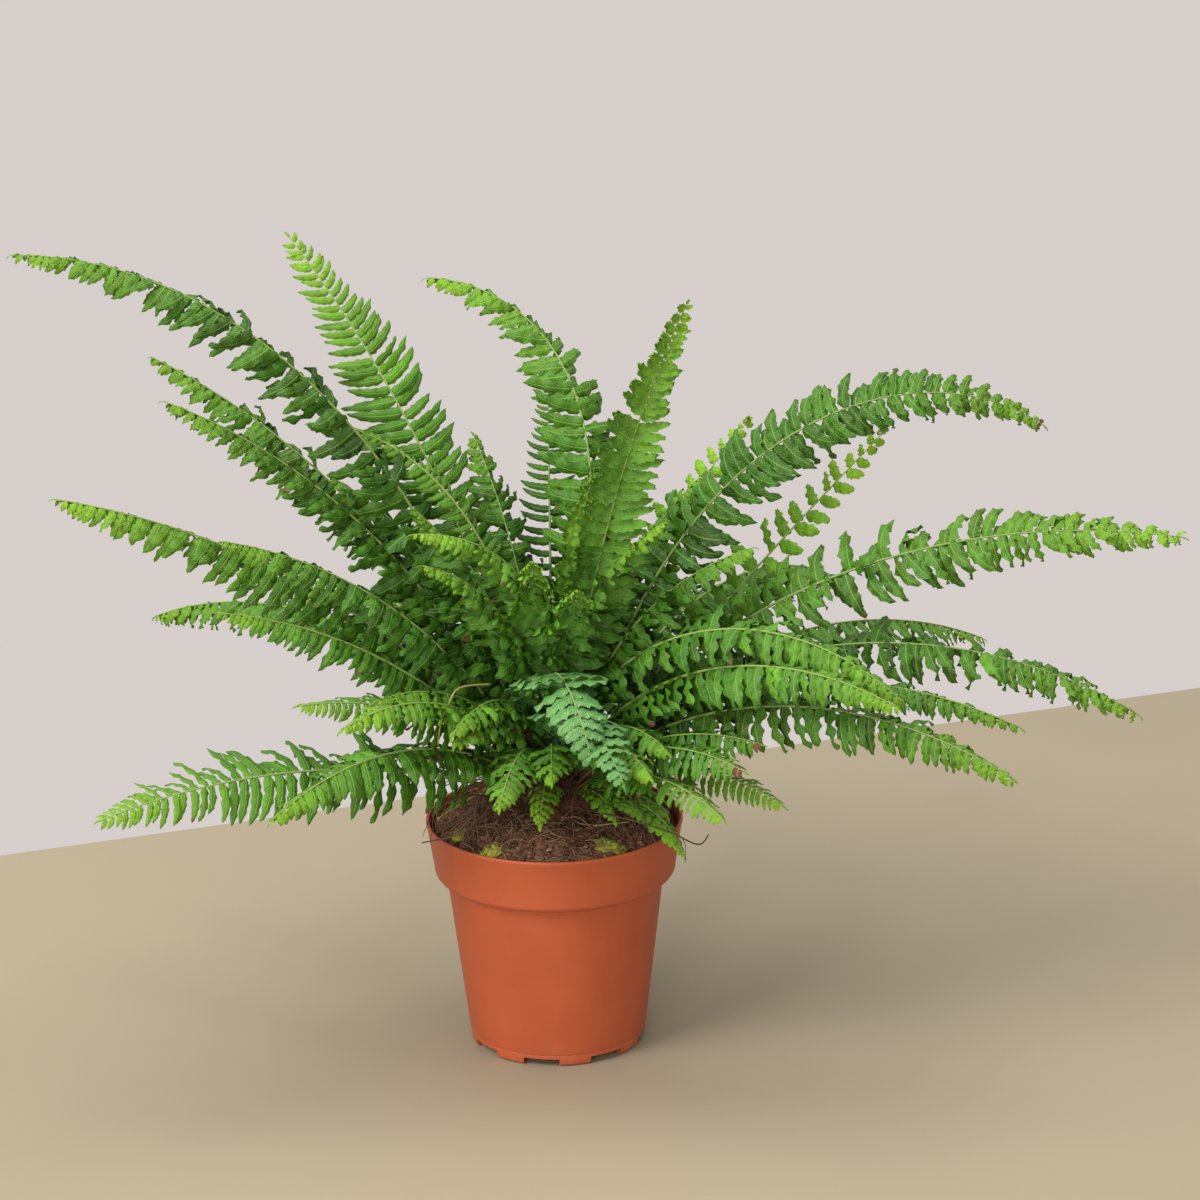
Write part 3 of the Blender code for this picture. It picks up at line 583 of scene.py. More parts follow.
def area_light(name, place, target, size, power, colour):
    data = bpy.data.lights.new(name, "AREA")
    data.shape = "RECTANGLE"
    data.size, data.size_y = size
    data.energy = power
    data.color = colour
    lamp = bpy.data.objects.new(name, data)
    bpy.context.scene.collection.objects.link(lamp)
    aim = (Vector(target) - Vector(place)).to_track_quat("-Z", "Y")
    lamp.matrix_world = Matrix.Translation(place) @ aim.to_matrix().to_4x4()


def set_light():
    area_light("key_softbox", (-1.9, -1.5, 2.4), (0, 0, 0.15), (1.4, 1.4), 84, (1.0, 0.975, 0.94))
    area_light("top_softbox", (0.1, 0.2, 2.1), (0, 0, 0.15), (1.3, 1.3), 26, (1.0, 0.99, 0.98))
    area_light("front_softbox", (-0.5, -2.3, 0.75), (0, 0, 0.12), (1.0, 0.8), 22, (1.0, 0.98, 0.95))


set_camera()
set_room()
set_light()
bpy.context.scene.view_settings.view_transform = "Standard"


# ---------------------------------------------------------------- pot
def arc(radius, height, size, start, end, steps):
    angles = [math.radians(start + (end - start) * i / steps) for i in range(steps + 1)]
    return [(radius + size * math.cos(a), height + size * math.sin(a)) for a in angles]


def pot_profile():
    """Half section of the pot, from the middle of its floor over the lip and back under its foot."""
    band_foot = POT_HEIGHT - BAND_HEIGHT
    body_top = band_foot - SHOULDER_HEIGHT
    inner = [
        (0.0001, FOOT_STEP + FLOOR),
        (BASE_RADIUS - WALL - 0.001, FOOT_STEP + FLOOR),
        (BASE_RADIUS - WALL, FOOT_STEP + FLOOR + 0.001),
        (BODY_TOP_RADIUS - WALL, body_top),
        (BAND_FOOT_RADIUS - WALL, band_foot),
    ]
    half = LIP_WALL / 2
    lip = arc(RIM_RADIUS - half, POT_HEIGHT - half, half, 180, 0, 10)
    bead = [(RIM_RADIUS - 0.0001, POT_HEIGHT - 0.0016), (RIM_RADIUS - 0.0004, POT_HEIGHT - 0.0022)]
    band = [(BAND_FOOT_RADIUS + 0.0001, band_foot + 0.0010), (BAND_FOOT_RADIUS, band_foot + 0.0003)]
    step = BAND_FOOT_RADIUS - BODY_TOP_RADIUS
    shoulder = [
        (
            BODY_TOP_RADIUS + step * math.cos(math.radians(angle)),
            band_foot - SHOULDER_HEIGHT * math.sin(math.radians(angle)),
        )
        for angle in (6, 20, 34, 48, 62, 76, 90)
    ]
    slope = (BODY_TOP_RADIUS - BASE_RADIUS) / (body_top - 0.001)
    ring = 0.0052
    foot_line = [
        (BASE_RADIUS + slope * (ring + 0.0006), ring + 0.0006),
        (BASE_RADIUS + slope * ring - 0.00022, ring + 0.0002),
        (BASE_RADIUS + slope * ring - 0.00022, ring - 0.0002),
        (BASE_RADIUS + slope * (ring - 0.0007), ring - 0.0007),
    ]
    foot = arc(BASE_RADIUS - 0.001, 0.001, 0.001, 0, -90, 5)
    channel = BASE_RADIUS - 0.0045
    underside = [
        (channel + 0.0004, 0.0),
        (channel, 0.0004),
        (channel - 0.001, FOOT_STEP),
        (0.015, FOOT_STEP),
        (0.0144, 0.0004),
        (0.0140, 0.0),
        (0.0001, 0.0),
    ]
    return inner + lip + bead + band + shoulder + foot_line + foot + underside


def model_pot():
    mesh = bpy.data.meshes.new("pot_shell")
    profile = [(radius, 0, height) for radius, height in pot_profile()]
    mesh.from_pydata(profile, [(i, i + 1) for i in range(len(profile) - 1)], [])
    pot = bpy.data.objects.new("pot_shell", mesh)
    bpy.context.scene.collection.objects.link(pot)
    activate(pot)
    bpy.ops.object.mode_set(mode="EDIT")
    bpy.ops.mesh.select_all(action="SELECT")
    bpy.ops.mesh.spin(steps=128, angle=math.tau, center=(0, 0, 0), axis=(0, 0, 1))
    bpy.ops.mesh.select_all(action="SELECT")
    bpy.ops.mesh.remove_doubles(threshold=0.00002)
    bpy.ops.mesh.select_all(action="DESELECT")
    bpy.ops.mesh.select_mode(type="VERT")
    bpy.ops.mesh.select_non_manifold()
    bpy.ops.mesh.fill_holes(sides=0)
    bpy.ops.mesh.select_all(action="SELECT")
    bpy.ops.mesh.normals_make_consistent(inside=False)
    bpy.ops.object.mode_set(mode="OBJECT")
    cutters = []
    for i in range(NOTCHES):
        heading = FIRST_NOTCH + i * 360 / NOTCHES
        place = facing(heading) * BASE_RADIUS
        deselect()
        bpy.ops.mesh.primitive_cube_add(size=1, location=place, rotation=(0, 0, math.radians(heading)))
        notch = bpy.context.active_object
        notch.scale = (NOTCH_DEPTH, NOTCH_WIDTH, FOOT_STEP * 2)
        bpy.context.view_layer.update()
        settle(notch)
        cutters.append(notch)
        place = facing(heading) * DRAIN_CIRCLE + Vector((0, 0, FOOT_STEP + FLOOR / 2))
        deselect()
        bpy.ops.mesh.primitive_cylinder_add(vertices=24, radius=DRAIN_RADIUS, depth=FLOOR * 4, location=place)
        drain = bpy.context.active_object
        bpy.context.view_layer.update()
        settle(drain)
        cutters.append(drain)
    cutting = bpy.data.collections.new("cutting_tools")
    bpy.context.scene.collection.children.link(cutting)
    for tool in cutters:
        for old in list(tool.users_collection):
            old.objects.unlink(tool)
        cutting.objects.link(tool)
    cut = pot.modifiers.new("notches and drains", "BOOLEAN")
    cut.operation = "DIFFERENCE"
    cut.operand_type = "COLLECTION"
    cut.collection = cutting
    cut.solver = "EXACT"
    apply_modifiers(pot)
    for tool in cutters:
        bpy.data.objects.remove(tool)
    bpy.data.collections.remove(cutting)
    activate(pot)
    bpy.ops.object.shade_smooth_by_angle(angle=math.radians(28))
    pot.data.materials.clear()
    pot.data.materials.append(POT)
    finish_piece(pot, "pot_plastic", "pot")


# ---------------------------------------------------------------- stalks and other thin stems
def stem(name, lines, coat, mark, value, detail=1):
    """Thin tubes along lines of (place, radius), as one mesh. Its attribute mark holds value(line, share)."""
    curve = bpy.data.curves.new(name, "CURVE")
    curve.dimensions = "3D"
    curve.bevel_depth = 1
    curve.bevel_resolution = detail
    curve.use_fill_caps = True
    for line in lines:
        spline = curve.splines.new("POLY")
        spline.points.add(len(line) - 1)
        for point, (place, radius) in zip(spline.points, line):
            point.co = (*place, 1)
            point.radius = radius
    tube = bpy.data.objects.new(name, curve)
    bpy.context.scene.collection.objects.link(tube)
    activate(tube)
    bpy.ops.object.convert(target="MESH")
    tube = bpy.context.active_object
    mesh = tube.data
    ring = len(mesh.vertices) // sum(len(line) + 2 for line in lines)
    # The caps of the last line come first, each line's far end before its near end, and then the walls.
    values = []
    for k in reversed(range(len(lines))):
        values.extend(value(k, 1.0) * ring)
        values.extend(value(k, 0.0) * ring)
    for k, line in enumerate(lines):
        for i in range(len(line)):
            values.extend(value(k, i / (len(line) - 1)) * ring)
    set_vector(mesh, mark, "POINT", values)
    bpy.ops.object.mode_set(mode="EDIT")
    bpy.ops.mesh.select_all(action="SELECT")
    bpy.ops.mesh.remove_doubles(threshold=0.000001)
    bpy.ops.mesh.normals_make_consistent(inside=False)
    bpy.ops.object.mode_set(mode="OBJECT")
    mesh.materials.clear()
    mesh.materials.append(coat)
    smooth(tube)
    return tube


def through(places, pieces):
    """A smooth line through the given places."""
    ends = [places[0], *places, places[-1]]
    line = []
    for a, b, c, d in zip(ends, ends[1:], ends[2:], ends[3:]):
        for i in range(pieces):
            t = i / pieces
            bend = (2 * a - 5 * b + 4 * c - d) * t**2
            twist = (3 * b - a - 3 * c + d) * t**3
            line.append((2 * b + (c - a) * t + bend + twist) / 2)
    line.append(places[-1])
    return line


# ---------------------------------------------------------------- leaflets
TEETH = 5  # on each margin
SPINE_STEPS = 24


def leaflet_stations(teeth, blunt):
    """Shares of the leaflet's length, each with its share of the half width: in and out at every tooth."""
    stations = [(0.0, 0.34)]
    for tooth in range(TEETH):
        for inside, wide in ((0.18, 1 - teeth), (0.80, 1.0)):
            share = (tooth + inside) / TEETH * 0.97
            body = min(1, 0.62 + share * 2.2)
            taper = (1 - share ** (1.6 + 3 * blunt)) ** (0.75 - 0.25 * blunt)
            stations.append((share, body * taper * wide))
    stations.append((1.0, 0.05))
    return stations


def extrude_leaflet(name, half_width, stations):
    """A flat leaflet along +X: a lens-shaped section, extruded and resized from station to station."""
    deselect()
    bpy.ops.mesh.primitive_circle_add(vertices=6, radius=1, fill_type="NGON")
    leaflet = bpy.context.active_object
    leaflet.name = name
    section = ((1, 0), (0.5, 0.55), (0, 0.30), (-0.5, 0.55), (-1, 0), (0, -0.75))
    width = half_width * stations[0][1]
    for vert, (y, z) in zip(leaflet.data.vertices, section):
        vert.co = (0, y * width, z * LEAFLET_THICK)
    bpy.ops.object.mode_set(mode="EDIT")
    bpy.ops.mesh.select_mode(type="FACE")
    bpy.ops.mesh.select_all(action="SELECT")
    for (share, wide), (next_share, next_wide) in zip(stations, stations[1:]):
        step = (next_share - share) * LEAFLET_LENGTH
        bpy.ops.mesh.extrude_region_move(TRANSFORM_OT_translate={"value": (step, 0, 0)})
        middle = (next_share * LEAFLET_LENGTH, 0, 0)
        bpy.ops.transform.resize(value=(1, next_wide / wide, 1), center_override=middle)
    bpy.ops.mesh.select_all(action="SELECT")
    bpy.ops.mesh.normals_make_consistent(inside=False)
    bpy.ops.object.mode_set(mode="OBJECT")
    return leaflet


def mark_leaflet(mesh, half_width, stations):
    """Keeps on every corner how far along, how far across and whether underneath. Returns the first two."""
    widths = {round(share, 4): half_width * wide for share, wide in stations}
    keys = sorted(widths)
    marks = []
    for vert in mesh.vertices:
        share = vert.co.x / LEAFLET_LENGTH
        nearest = min(keys, key=lambda key: abs(key - share))
        marks.append((share, vert.co.y / widths[nearest]))
    corner_values = []
    for polygon in mesh.polygons:
        below = 1.0 if polygon.normal.z < -0.2 else 0.0
        for index in polygon.vertices:
            corner_values.extend((*marks[index], below))
    set_vector(mesh, "leaf_place", "CORNER", corner_values)
    return marks


def leaflet_spine(hook, droop, twist, dice):
    """Places along a hooked, drooping, twisted rib, and the directions ahead, sideways and up at each."""
    hook_turn = math.radians(hook * dice.uniform(0.7, 1.3))
    droop_turn = math.radians(droop * dice.uniform(0.5, 1.5))
    twist_turn = math.radians(twist * dice.uniform(-1, 1))
    tip_kick = math.radians(droop * dice.uniform(-0.7, 1.1))
    spine = [Vector((0, 0, 0))]
    frames = []
    for i in range(SPINE_STEPS + 1):
        share = i / SPINE_STEPS
        yaw = hook_turn * (share - 0.35)
        dip = droop_turn * share**1.4 + tip_kick * max(0, share - 0.6) * 1.5
        ahead = Vector((math.cos(yaw) * math.cos(dip), math.sin(yaw) * math.cos(dip), -math.sin(dip)))
        side = Vector((-math.sin(yaw), math.cos(yaw), 0))
        turned = Matrix.Rotation(twist_turn * share, 3, ahead) @ side
        frames.append((ahead, turned, ahead.cross(turned)))
        if i < SPINE_STEPS:
            spine.append(spine[-1] + ahead * (LEAFLET_LENGTH / SPINE_STEPS))
    return spine, frames


def model_leaflet(name, kind, seed):
    """One leaflet: a toothed strip that is cupped and ruffled, and bent along its own rib."""
    half_width, ear, teeth, blunt, hook, droop, twist, ruffle = KINDS[kind][:8]
    dice = random.Random(seed)
    stations = leaflet_stations(teeth, blunt)
    leaflet = extrude_leaflet(name, half_width, stations)
    mesh = leaflet.data
    marks = mark_leaflet(mesh, half_width, stations)
    activate(leaflet)
    bpy.ops.object.shade_smooth_by_angle(angle=math.radians(70))
    wave = dice.uniform(0, math.tau)
    spine, frames = leaflet_spine(hook, droop, twist, dice)
    for vert, (share, across) in zip(mesh.vertices, marks):
        i = min(SPINE_STEPS, max(0, round(share * SPINE_STEPS)))
        ahead, side, up = frames[i]
        y = vert.co.y
        if y > 0:
            y *= 1 + ear * math.exp(-((share / 0.10) ** 2))
        rest = (share * SPINE_STEPS - i) * (LEAFLET_LENGTH / SPINE_STEPS)
        cup = LEAFLET_CUP * (abs(across) ** 2) * (1 - 0.6 * share) * (half_width / 0.004)
        phase = 1.7 if across > 0 else 0
        lift = vert.co.z - cup
        lift += ruffle * math.sin(wave + share * 17 + phase) * abs(across) ** 1.5
        vert.co = spine[i] + ahead * rest + side * y + up * lift
    mesh.update()
    leaflet.data.materials.append(WAXY if kind == "waxy" else LEAF)
    return leaflet


def mirrored(leaflet):
    """The same leaflet for the other side of the stalk."""
    other = copy_of(leaflet)
    other.data.transform(Matrix.Diagonal((1, -1, 1, 1)))
    other.data.flip_normals()
    return other


def model_leaflets():
    sets = {}
    for number, (kind, spec) in enumerate(KINDS.items()):
        ahead = [model_leaflet(f"leaflet_{kind}_{i}", kind, 100 * number + i) for i in range(spec[8])]
        sets[kind] = (ahead, [mirrored(leaflet) for leaflet in ahead])
    return sets


# ---------------------------------------------------------------- fronds
def frond_path(row):
    """Places, forward, sideways and upward directions at even steps from the frond's root to its tip."""
    heading, rise, fall, bend, length, sway, roll, _ = row
    start_rise = math.radians(rise)
    outward = facing(heading) * math.cos(start_rise)
    dome = outward * CROWN_RADIUS + Vector((0, 0, math.sin(start_rise) * CROWN_HEIGHT))
    place = dome * 0.97 + Vector((0, 0, SEAT_HEIGHT))
    path = []
    for i in range(PATH_STEPS + 1):
        share = i / PATH_STEPS
        climb = math.radians(rise + (fall - rise) * share**bend)
        flat = facing(heading + sway * share)
        along = flat * math.cos(climb) + Vector((0, 0, math.sin(climb)))
        level = Vector((-flat.y, flat.x, 0))
        across = Matrix.Rotation(math.radians(roll), 3, along) @ level
        path.append((place.copy(), along, across, along.cross(across)))
        place += along * (length / PATH_STEPS)
    return path


def crozier(end, size):
    """The rolled tip of a young frond: a tapering coil that starts where the stalk ends."""
    place, along, _, upward = end
    centre = place + upward * size
    steps = 21
    line = []
    for i in range(steps + 1):
        share = i / steps
        turn = share * 1.6 * math.tau
        radius = size * (1 - 0.78 * share)
        spot = centre + (along * math.sin(turn) - upward * math.cos(turn)) * radius
        line.append((spot, 0.0007 * (1 - 0.5 * share)))
    return line


def at(path, share):
    return path[min(PATH_STEPS, max(0, round(share * PATH_STEPS)))]


def blade_width(share):
    """Length of the leaflets at this share of the blade, as a share of the longest."""
    return (0.62 + 0.42 * min(1, share / 0.25)) * (1 - 0.86 * share**3.4)


def model_stalk(path, length, kind, shade):
    """The stalk of one frond, thinner towards its tip. A sparse young frond's ends in a crozier."""
    stalk_radius = STALK_RADIUS * min(1.0, 0.45 + length / FULL_STALK_LENGTH)
    stations = 36
    line = []
    for i in range(stations + 1):
        share = i / stations
        line.append((at(path, share)[0], stalk_radius * (1 - 0.78 * share)))
    lines = [line]
    if kind == "sparse":
        lines.append(crozier(path[-1], 0.0024))
    # The stalk's green follows the frond's shade: its own green with painted light and shade.
    tone = 0.25 + 0.75 * shade
    return stem("stalk", lines, STALK, "stalk_place", lambda k, share: (max(k, share), tone, 0.0))


def set_leaf_tone(mesh, shade, youth, dry):
    set_vector(mesh, "leaf_tone", "CORNER", (shade, youth, dry) * len(mesh.loops))


def model_frond(name, spec, leaflets, dice, nodes):
    """One frond: its stalk, a leaflet on each side at every gap, and one more that closes the tip."""
    row, kind, droop, unruly, shade, youth, face = spec
    path = frond_path((*row[:6], row[6] + face, row[7]))
    length, half_width = row[4], row[7]
    pieces = [model_stalk(path, length, kind, shade)]
    ahead, behind = leaflets[kind]
    template_width = 2 * KINDS[kind][0]
    spread, fill = KINDS[kind][9:]
    spacing = (0.0026 + 0.17 * half_width) * spread
    share = STIPE_SHARE
    while share < 0.992:
        blade = (share - STIPE_SHARE) / (1 - STIPE_SHARE)
        reach = half_width * blade_width(blade)
        gap = spacing * (1 - 0.55 * blade**2)
        wild = unruly * (1 - 0.5 * blade**2)
        for side, templates, lag in ((1, behind, 0.0), (-1, ahead, 0.5)):
            place, along, across, upward = at(path, min(1, share + lag * gap / length))
            template = dice.choice(templates)
            size = reach * dice.uniform(0.88, 1.14) / LEAFLET_LENGTH
            width_size = min(max(size * 0.8, gap * fill / template_width), size * 1.9)
            outward = across * side
            stance = Matrix((outward, along * -side, upward)).transposed()
            sweep = math.radians(8 + 26 * blade**2 + dice.gauss(0, 5) * wild)
            dip = math.radians(droop * (0.7 + 0.5 * blade) + dice.gauss(0, 15) * wild)
            tilt = math.radians(16 + dice.gauss(0, 19) * wild)
            turn = Matrix.Rotation(-side * sweep, 3, "Z")
            turn = turn @ Matrix.Rotation(dip, 3, "Y") @ Matrix.Rotation(side * -tilt, 3, "X")
            stretch = Matrix.Diagonal((size, width_size, (size + width_size) / 2))
            whole = (stance @ turn @ stretch).to_4x4()
            leaflet = copy_of(template)
            leaflet.data.transform(Matrix.Translation(place + outward * 0.0002) @ whole)
            # Each leaflet's shade: the frond's, a random spread, and lighter towards the tip as painted
            # light.
            tone = min(1, max(0, shade + dice.gauss(0, 0.10) + 0.16 * blade))
            tip_youth = youth * 1.5 * blade**4 + 0.45 * blade**9
            new = min(1, youth * 0.45 + tip_youth + dice.gauss(0, 0.03))
            dry = -0.05
            if dice.random() < 0.06:
                dry = dice.uniform(0.03, 0.16)
            if youth < 0 or blade > SCORCHED.get(name, 1):
                dry = 1.2
            set_leaf_tone(leaflet.data, tone, max(0, new), dry)
            pieces.append(leaflet)
        share += gap / length
    place, along, across, upward = path[-1]
    size = max(0.004, half_width * 0.16) / LEAFLET_LENGTH
    last = copy_of(ahead[0])
    stance = Matrix((along, across, upward)).transposed().to_4x4()
    last.data.transform(Matrix.Translation(place) @ stance @ Matrix.Diagonal((size, size, size, 1)))
    # The last leaflet is younger, and its raised shade is painted light.
    set_leaf_tone(last.data, min(1, shade + 0.2), min(1, youth + 0.5), -0.05)
    pieces.append(last)
    finish_piece(join(pieces, f"{name}_leaves"), "leaf_green", *nodes)


def model_fronds():
    leaflets = model_leaflets()
    for number, (name, spec) in enumerate(FRONDS.items()):
        model_frond(name, spec, leaflets, random.Random(500 + number), [f"frond_{name}"])
    for number, (name, spec) in enumerate(INNER_FRONDS.items()):
        model_frond(name, spec, leaflets, random.Random(900 + number), [])
    for ahead, behind in leaflets.values():
        for template in ahead + behind:
            bpy.data.objects.remove(template)


# ---------------------------------------------------------------- soil and crown
def model_soil():
    deselect()
    bpy.ops.mesh.primitive_circle_add(vertices=96, radius=SOIL_EDGE_RADIUS, fill_type="NOTHING")
    soil = bpy.context.active_object
    soil.name = "soil_surface"
    bpy.ops.object.mode_set(mode="EDIT")
    bpy.ops.mesh.select_all(action="SELECT")
    rings = 52
    for i in range(rings):
        before = 1 - i / rings * 0.97
        after = 1 - (i + 1) / rings * 0.97
        bpy.ops.mesh.extrude_region_move()
        bpy.ops.transform.resize(value=(after / before, after / before, 1))
    bpy.ops.mesh.edge_face_add()
    bpy.ops.mesh.select_all(action="DESELECT")
    bpy.ops.object.mode_set(mode="OBJECT")
    for vert in soil.data.vertices:
        radius = vert.co.xy.length
        place = vert.co.copy()
        rough = noise.fractal(place * 190, 0.8, 2.1, 4) * 0.0011
        lumps = noise.noise(place * 75 + Vector((3, 7, 1))) * 0.0012
        fade = min(1, (SOIL_EDGE_RADIUS - radius) / 0.002)
        jitter = noise.noise_vector(place * 260) * 0.0006 * fade
        height = mound_height(radius) + (rough + lumps) * (0.4 + 0.6 * fade)
        if radius > SOIL_EDGE_RADIUS - 0.0001:
            height -= 0.002
        vert.co = Vector((place.x + jitter.x, place.y + jitter.y, height))
    activate(soil)
    bpy.ops.object.mode_set(mode="EDIT")
    bpy.ops.mesh.select_all(action="DESELECT")
    bpy.ops.mesh.select_mode(type="EDGE")
    bpy.ops.mesh.select_non_manifold()
    bpy.ops.mesh.extrude_region_move(TRANSFORM_OT_translate={"value": (0, 0, -SOIL_DEPTH)})
    bpy.ops.transform.resize(value=(0.955, 0.955, 1), center_override=(0, 0, 0))
    bpy.ops.mesh.edge_face_add()
    bpy.ops.mesh.select_all(action="SELECT")
    bpy.ops.mesh.normals_make_consistent(inside=False)
    bpy.ops.object.mode_set(mode="OBJECT")
    smooth(soil)
    soil.data.materials.append(SOIL)
    finish_piece(soil, "soil", "soil")


def surface_place(heading, radius, lift=0.0):
    return facing(heading) * radius + Vector((0, 0, mound_height(radius) + lift))


def model_crumbs(dice):
    """Crumbs of peat and chips of bark strewn over the soil."""
    deselect()
    bpy.ops.mesh.primitive_ico_sphere_add(subdivisions=1, radius=1)
    template = bpy.context.active_object
    pieces = []
    for _ in range(CRUMBS_STREWN):
        radius = STREWN_RADIUS * math.sqrt(dice.uniform(0.12, 1))
        place = surface_place(dice.uniform(0, 360), radius, dice.uniform(-0.0002, 0.0010))
        size = dice.uniform(0.0005, 0.0015) * (1.5 if dice.random() < 0.1 else 1)
        stretch = Matrix.Diagonal((size * dice.uniform(0.8, 1.7), size, size * dice.uniform(0.4, 0.8), 1))
        spin = Matrix.Rotation(dice.uniform(0, math.tau), 4, "Z")
        spin = spin @ Matrix.Rotation(dice.gauss(0, 0.5), 4, "X")
        crumb = copy_of(template)
        for vert in crumb.data.vertices:
            vert.co *= dice.uniform(0.65, 1.25)
        crumb.data.transform(Matrix.Translation(place) @ spin @ stretch)
        tone = dice.random() ** 2
        values = (tone, dice.random(), 0.0) * len(crumb.data.vertices)
        set_vector(crumb.data, "crumb_tone", "POINT", values)
        pieces.append(crumb)
    bpy.data.objects.remove(template)
    crumbs = join(pieces, "soil_crumbs")
    crumbs.data.materials.append(CRUMBS)
    finish_piece(crumbs, "soil")


def model_strands(dice):
    """Curled strands of coir and longer pale roots that lie on the soil in low humps."""
    lines = []
    tones = []
    steps = 7
    for _ in range(STRANDS_STREWN):
        heading = dice.uniform(0, 360)
        radius = SOIL_EDGE_RADIUS * 0.93 * math.sqrt(dice.uniform(0.12, 1))
        place = surface_place(heading, radius, dice.uniform(0.0, 0.0008))
        direction = dice.uniform(0, math.tau)
        turn = dice.gauss(0, 0.35)
        root = dice.random() < 0.30
        reach = dice.uniform(0.012, 0.028) if root else dice.uniform(0.003, 0.013)
        thick = dice.uniform(0.00018, 0.00036) if root else dice.uniform(0.00008, 0.00026)
        hump = dice.uniform(0.001, 0.0055) if root else dice.uniform(0, 0.0022)
        line = []
        for i in range(steps + 1):
            share = i / steps
            away = place.xy.length
            if away > STREWN_RADIUS:
                place.xy *= STREWN_RADIUS / away
                away = STREWN_RADIUS
            height = mound_height(away) + 0.0004 + hump * math.sin(math.pi * share)
            spot = Vector((place.x, place.y, height))
            line.append((spot, thick * (1.0 - 0.6 * abs(share - 0.4))))
            place += Vector((math.cos(direction), math.sin(direction), 0)) * reach / steps
            direction += turn
        lines.append(line)
        tones.append(0.25 + 0.75 * (dice.uniform(0.3, 0.9) if root else dice.random() ** 1.5))
    strands = stem("soil_strands", lines, CRUMBS, "crumb_tone", lambda k, _: (tones[k], 0.5, 0.0), 0)
    finish_piece(strands, "soil")


def model_crown():
    """A low matted dome of old leaf bases."""
    deselect()
    bpy.ops.mesh.primitive_ico_sphere_add(subdivisions=5, radius=1)
    dome = bpy.context.active_object
    dome.name = "crown_dome"
    bpy.ops.object.mode_set(mode="EDIT")
    bpy.ops.mesh.select_all(action="SELECT")
    bpy.ops.mesh.bisect(plane_co=(0, 0, -0.04), plane_no=(0, 0, -1), clear_outer=True, use_fill=True)
    bpy.ops.object.mode_set(mode="OBJECT")
    for vert in dome.data.vertices:
        place = Vector((vert.co.x * CROWN_RADIUS, vert.co.y * CROWN_RADIUS, vert.co.z * CROWN_HEIGHT))
        hollow = noise.fractal(place * 160, 0.7, 2.0, 4)
        place -= vert.co.normalized() * 0.0016 * (0.6 + hollow)
        vert.co = place + Vector((0, 0, SEAT_HEIGHT))
    smooth(dome)
    dome.data.materials.append(FIBRE)
    finish_piece(dome, "crown_fibre", "crown")


def model_scales(dice):
    """Narrow rust-brown scales that clothe the crown."""
    lines = []
    tones = []
    steps = 4
    for _ in range(CROWN_SCALES):
        heading = dice.uniform(0, math.tau)
        climb = math.asin(dice.uniform(0.0, 0.98))
        flat = math.cos(climb)
        outward = Vector((math.cos(heading) * flat, math.sin(heading) * flat, math.sin(climb)))
        foot = Vector((outward.x * CROWN_RADIUS, outward.y * CROWN_RADIUS, outward.z * CROWN_HEIGHT)) * 0.95
        foot.z += SEAT_HEIGHT
        up = Vector((0, 0, 1)) * dice.uniform(0.1, 0.9)
        lean = (outward * dice.uniform(0.3, 0.9) + up).normalized()
        stray = Vector((dice.gauss(0, 0.4), dice.gauss(0, 0.4), dice.gauss(0, 0.3)))
        reach = dice.uniform(0.002, 0.0065)
        thick = dice.uniform(0.00012, 0.0003)
        line = []
        for i in range(steps + 1):
            share = i / steps
            place = foot + (lean + stray * share) * reach * share
            line.append((place, thick * (1 - 0.8 * share)))
        lines.append(line)
        tones.append(0.2 + 0.6 * dice.random())
    scales = stem("crown_scales", lines, CRUMBS, "crumb_tone", lambda k, _: (tones[k], 0.9, 0.0), 0)
    finish_piece(scales, "crown_fibre")


# ---------------------------------------------------------------- runners and moss
def polar(heading, clear_of_crown, above_lip):
    return facing(heading) * (CROWN_RADIUS + clear_of_crown) + Vector((0, 0, POT_HEIGHT + above_lip))


# Each place: heading in degrees, distance out from the crown and height above the lip.
RUNNERS = {
    "runner_left_loop": (
        (208.4, 0.0048, 0.014),
        (216.9, 0.0275, 0.022),
        (213.2, 0.0432, 0.016),
        (216.5, 0.0397, 0.006),
    ),
    "runner_left_wire": (
        (219, 0.0045, 0.013),
        (233.1, 0.0275, 0.018),
        (231.1, 0.0443, 0.012),
        (219.8, 0.0556, 0.007),
    ),
    "runner_right_hook": (
        (300.3, 0.0053, 0.012),
        (304.8, 0.0335, 0.016),
        (317.3, 0.0483, 0.010),
        (327.5, 0.0557, 0.001),
        (330.6, 0.0590, 0.005),
    ),
}


def model_runners(dice):
    for name, places in RUNNERS.items():
        line = through([polar(*place) for place in places], 8)
        main = [(place, 0.0005 * (1 - 0.4 * i / len(line))) for i, place in enumerate(line)]
        lines = [main]
        for _ in range(5):
            start = dice.randrange(4, len(line) - 4)
            place = line[start].copy()
            direction = Vector((dice.gauss(0, 1), dice.gauss(0, 1), dice.gauss(-0.3, 0.6))).normalized()
            branch = []
            for i in range(9):
                branch.append((place.copy(), 0.00022 * (1 - 0.5 * i / 8)))
                veer = Vector((dice.gauss(0, 0.3), dice.gauss(0, 0.3), -0.12))
                direction = (direction + veer).normalized()
                place += direction * 0.0016
            lines.append(branch)
        runner = stem(f"{name}_wire", lines, RUNNER, "stalk_place", lambda _, share: (share, 0.05, 0.0), 2)
        finish_piece(runner, "runner", name)


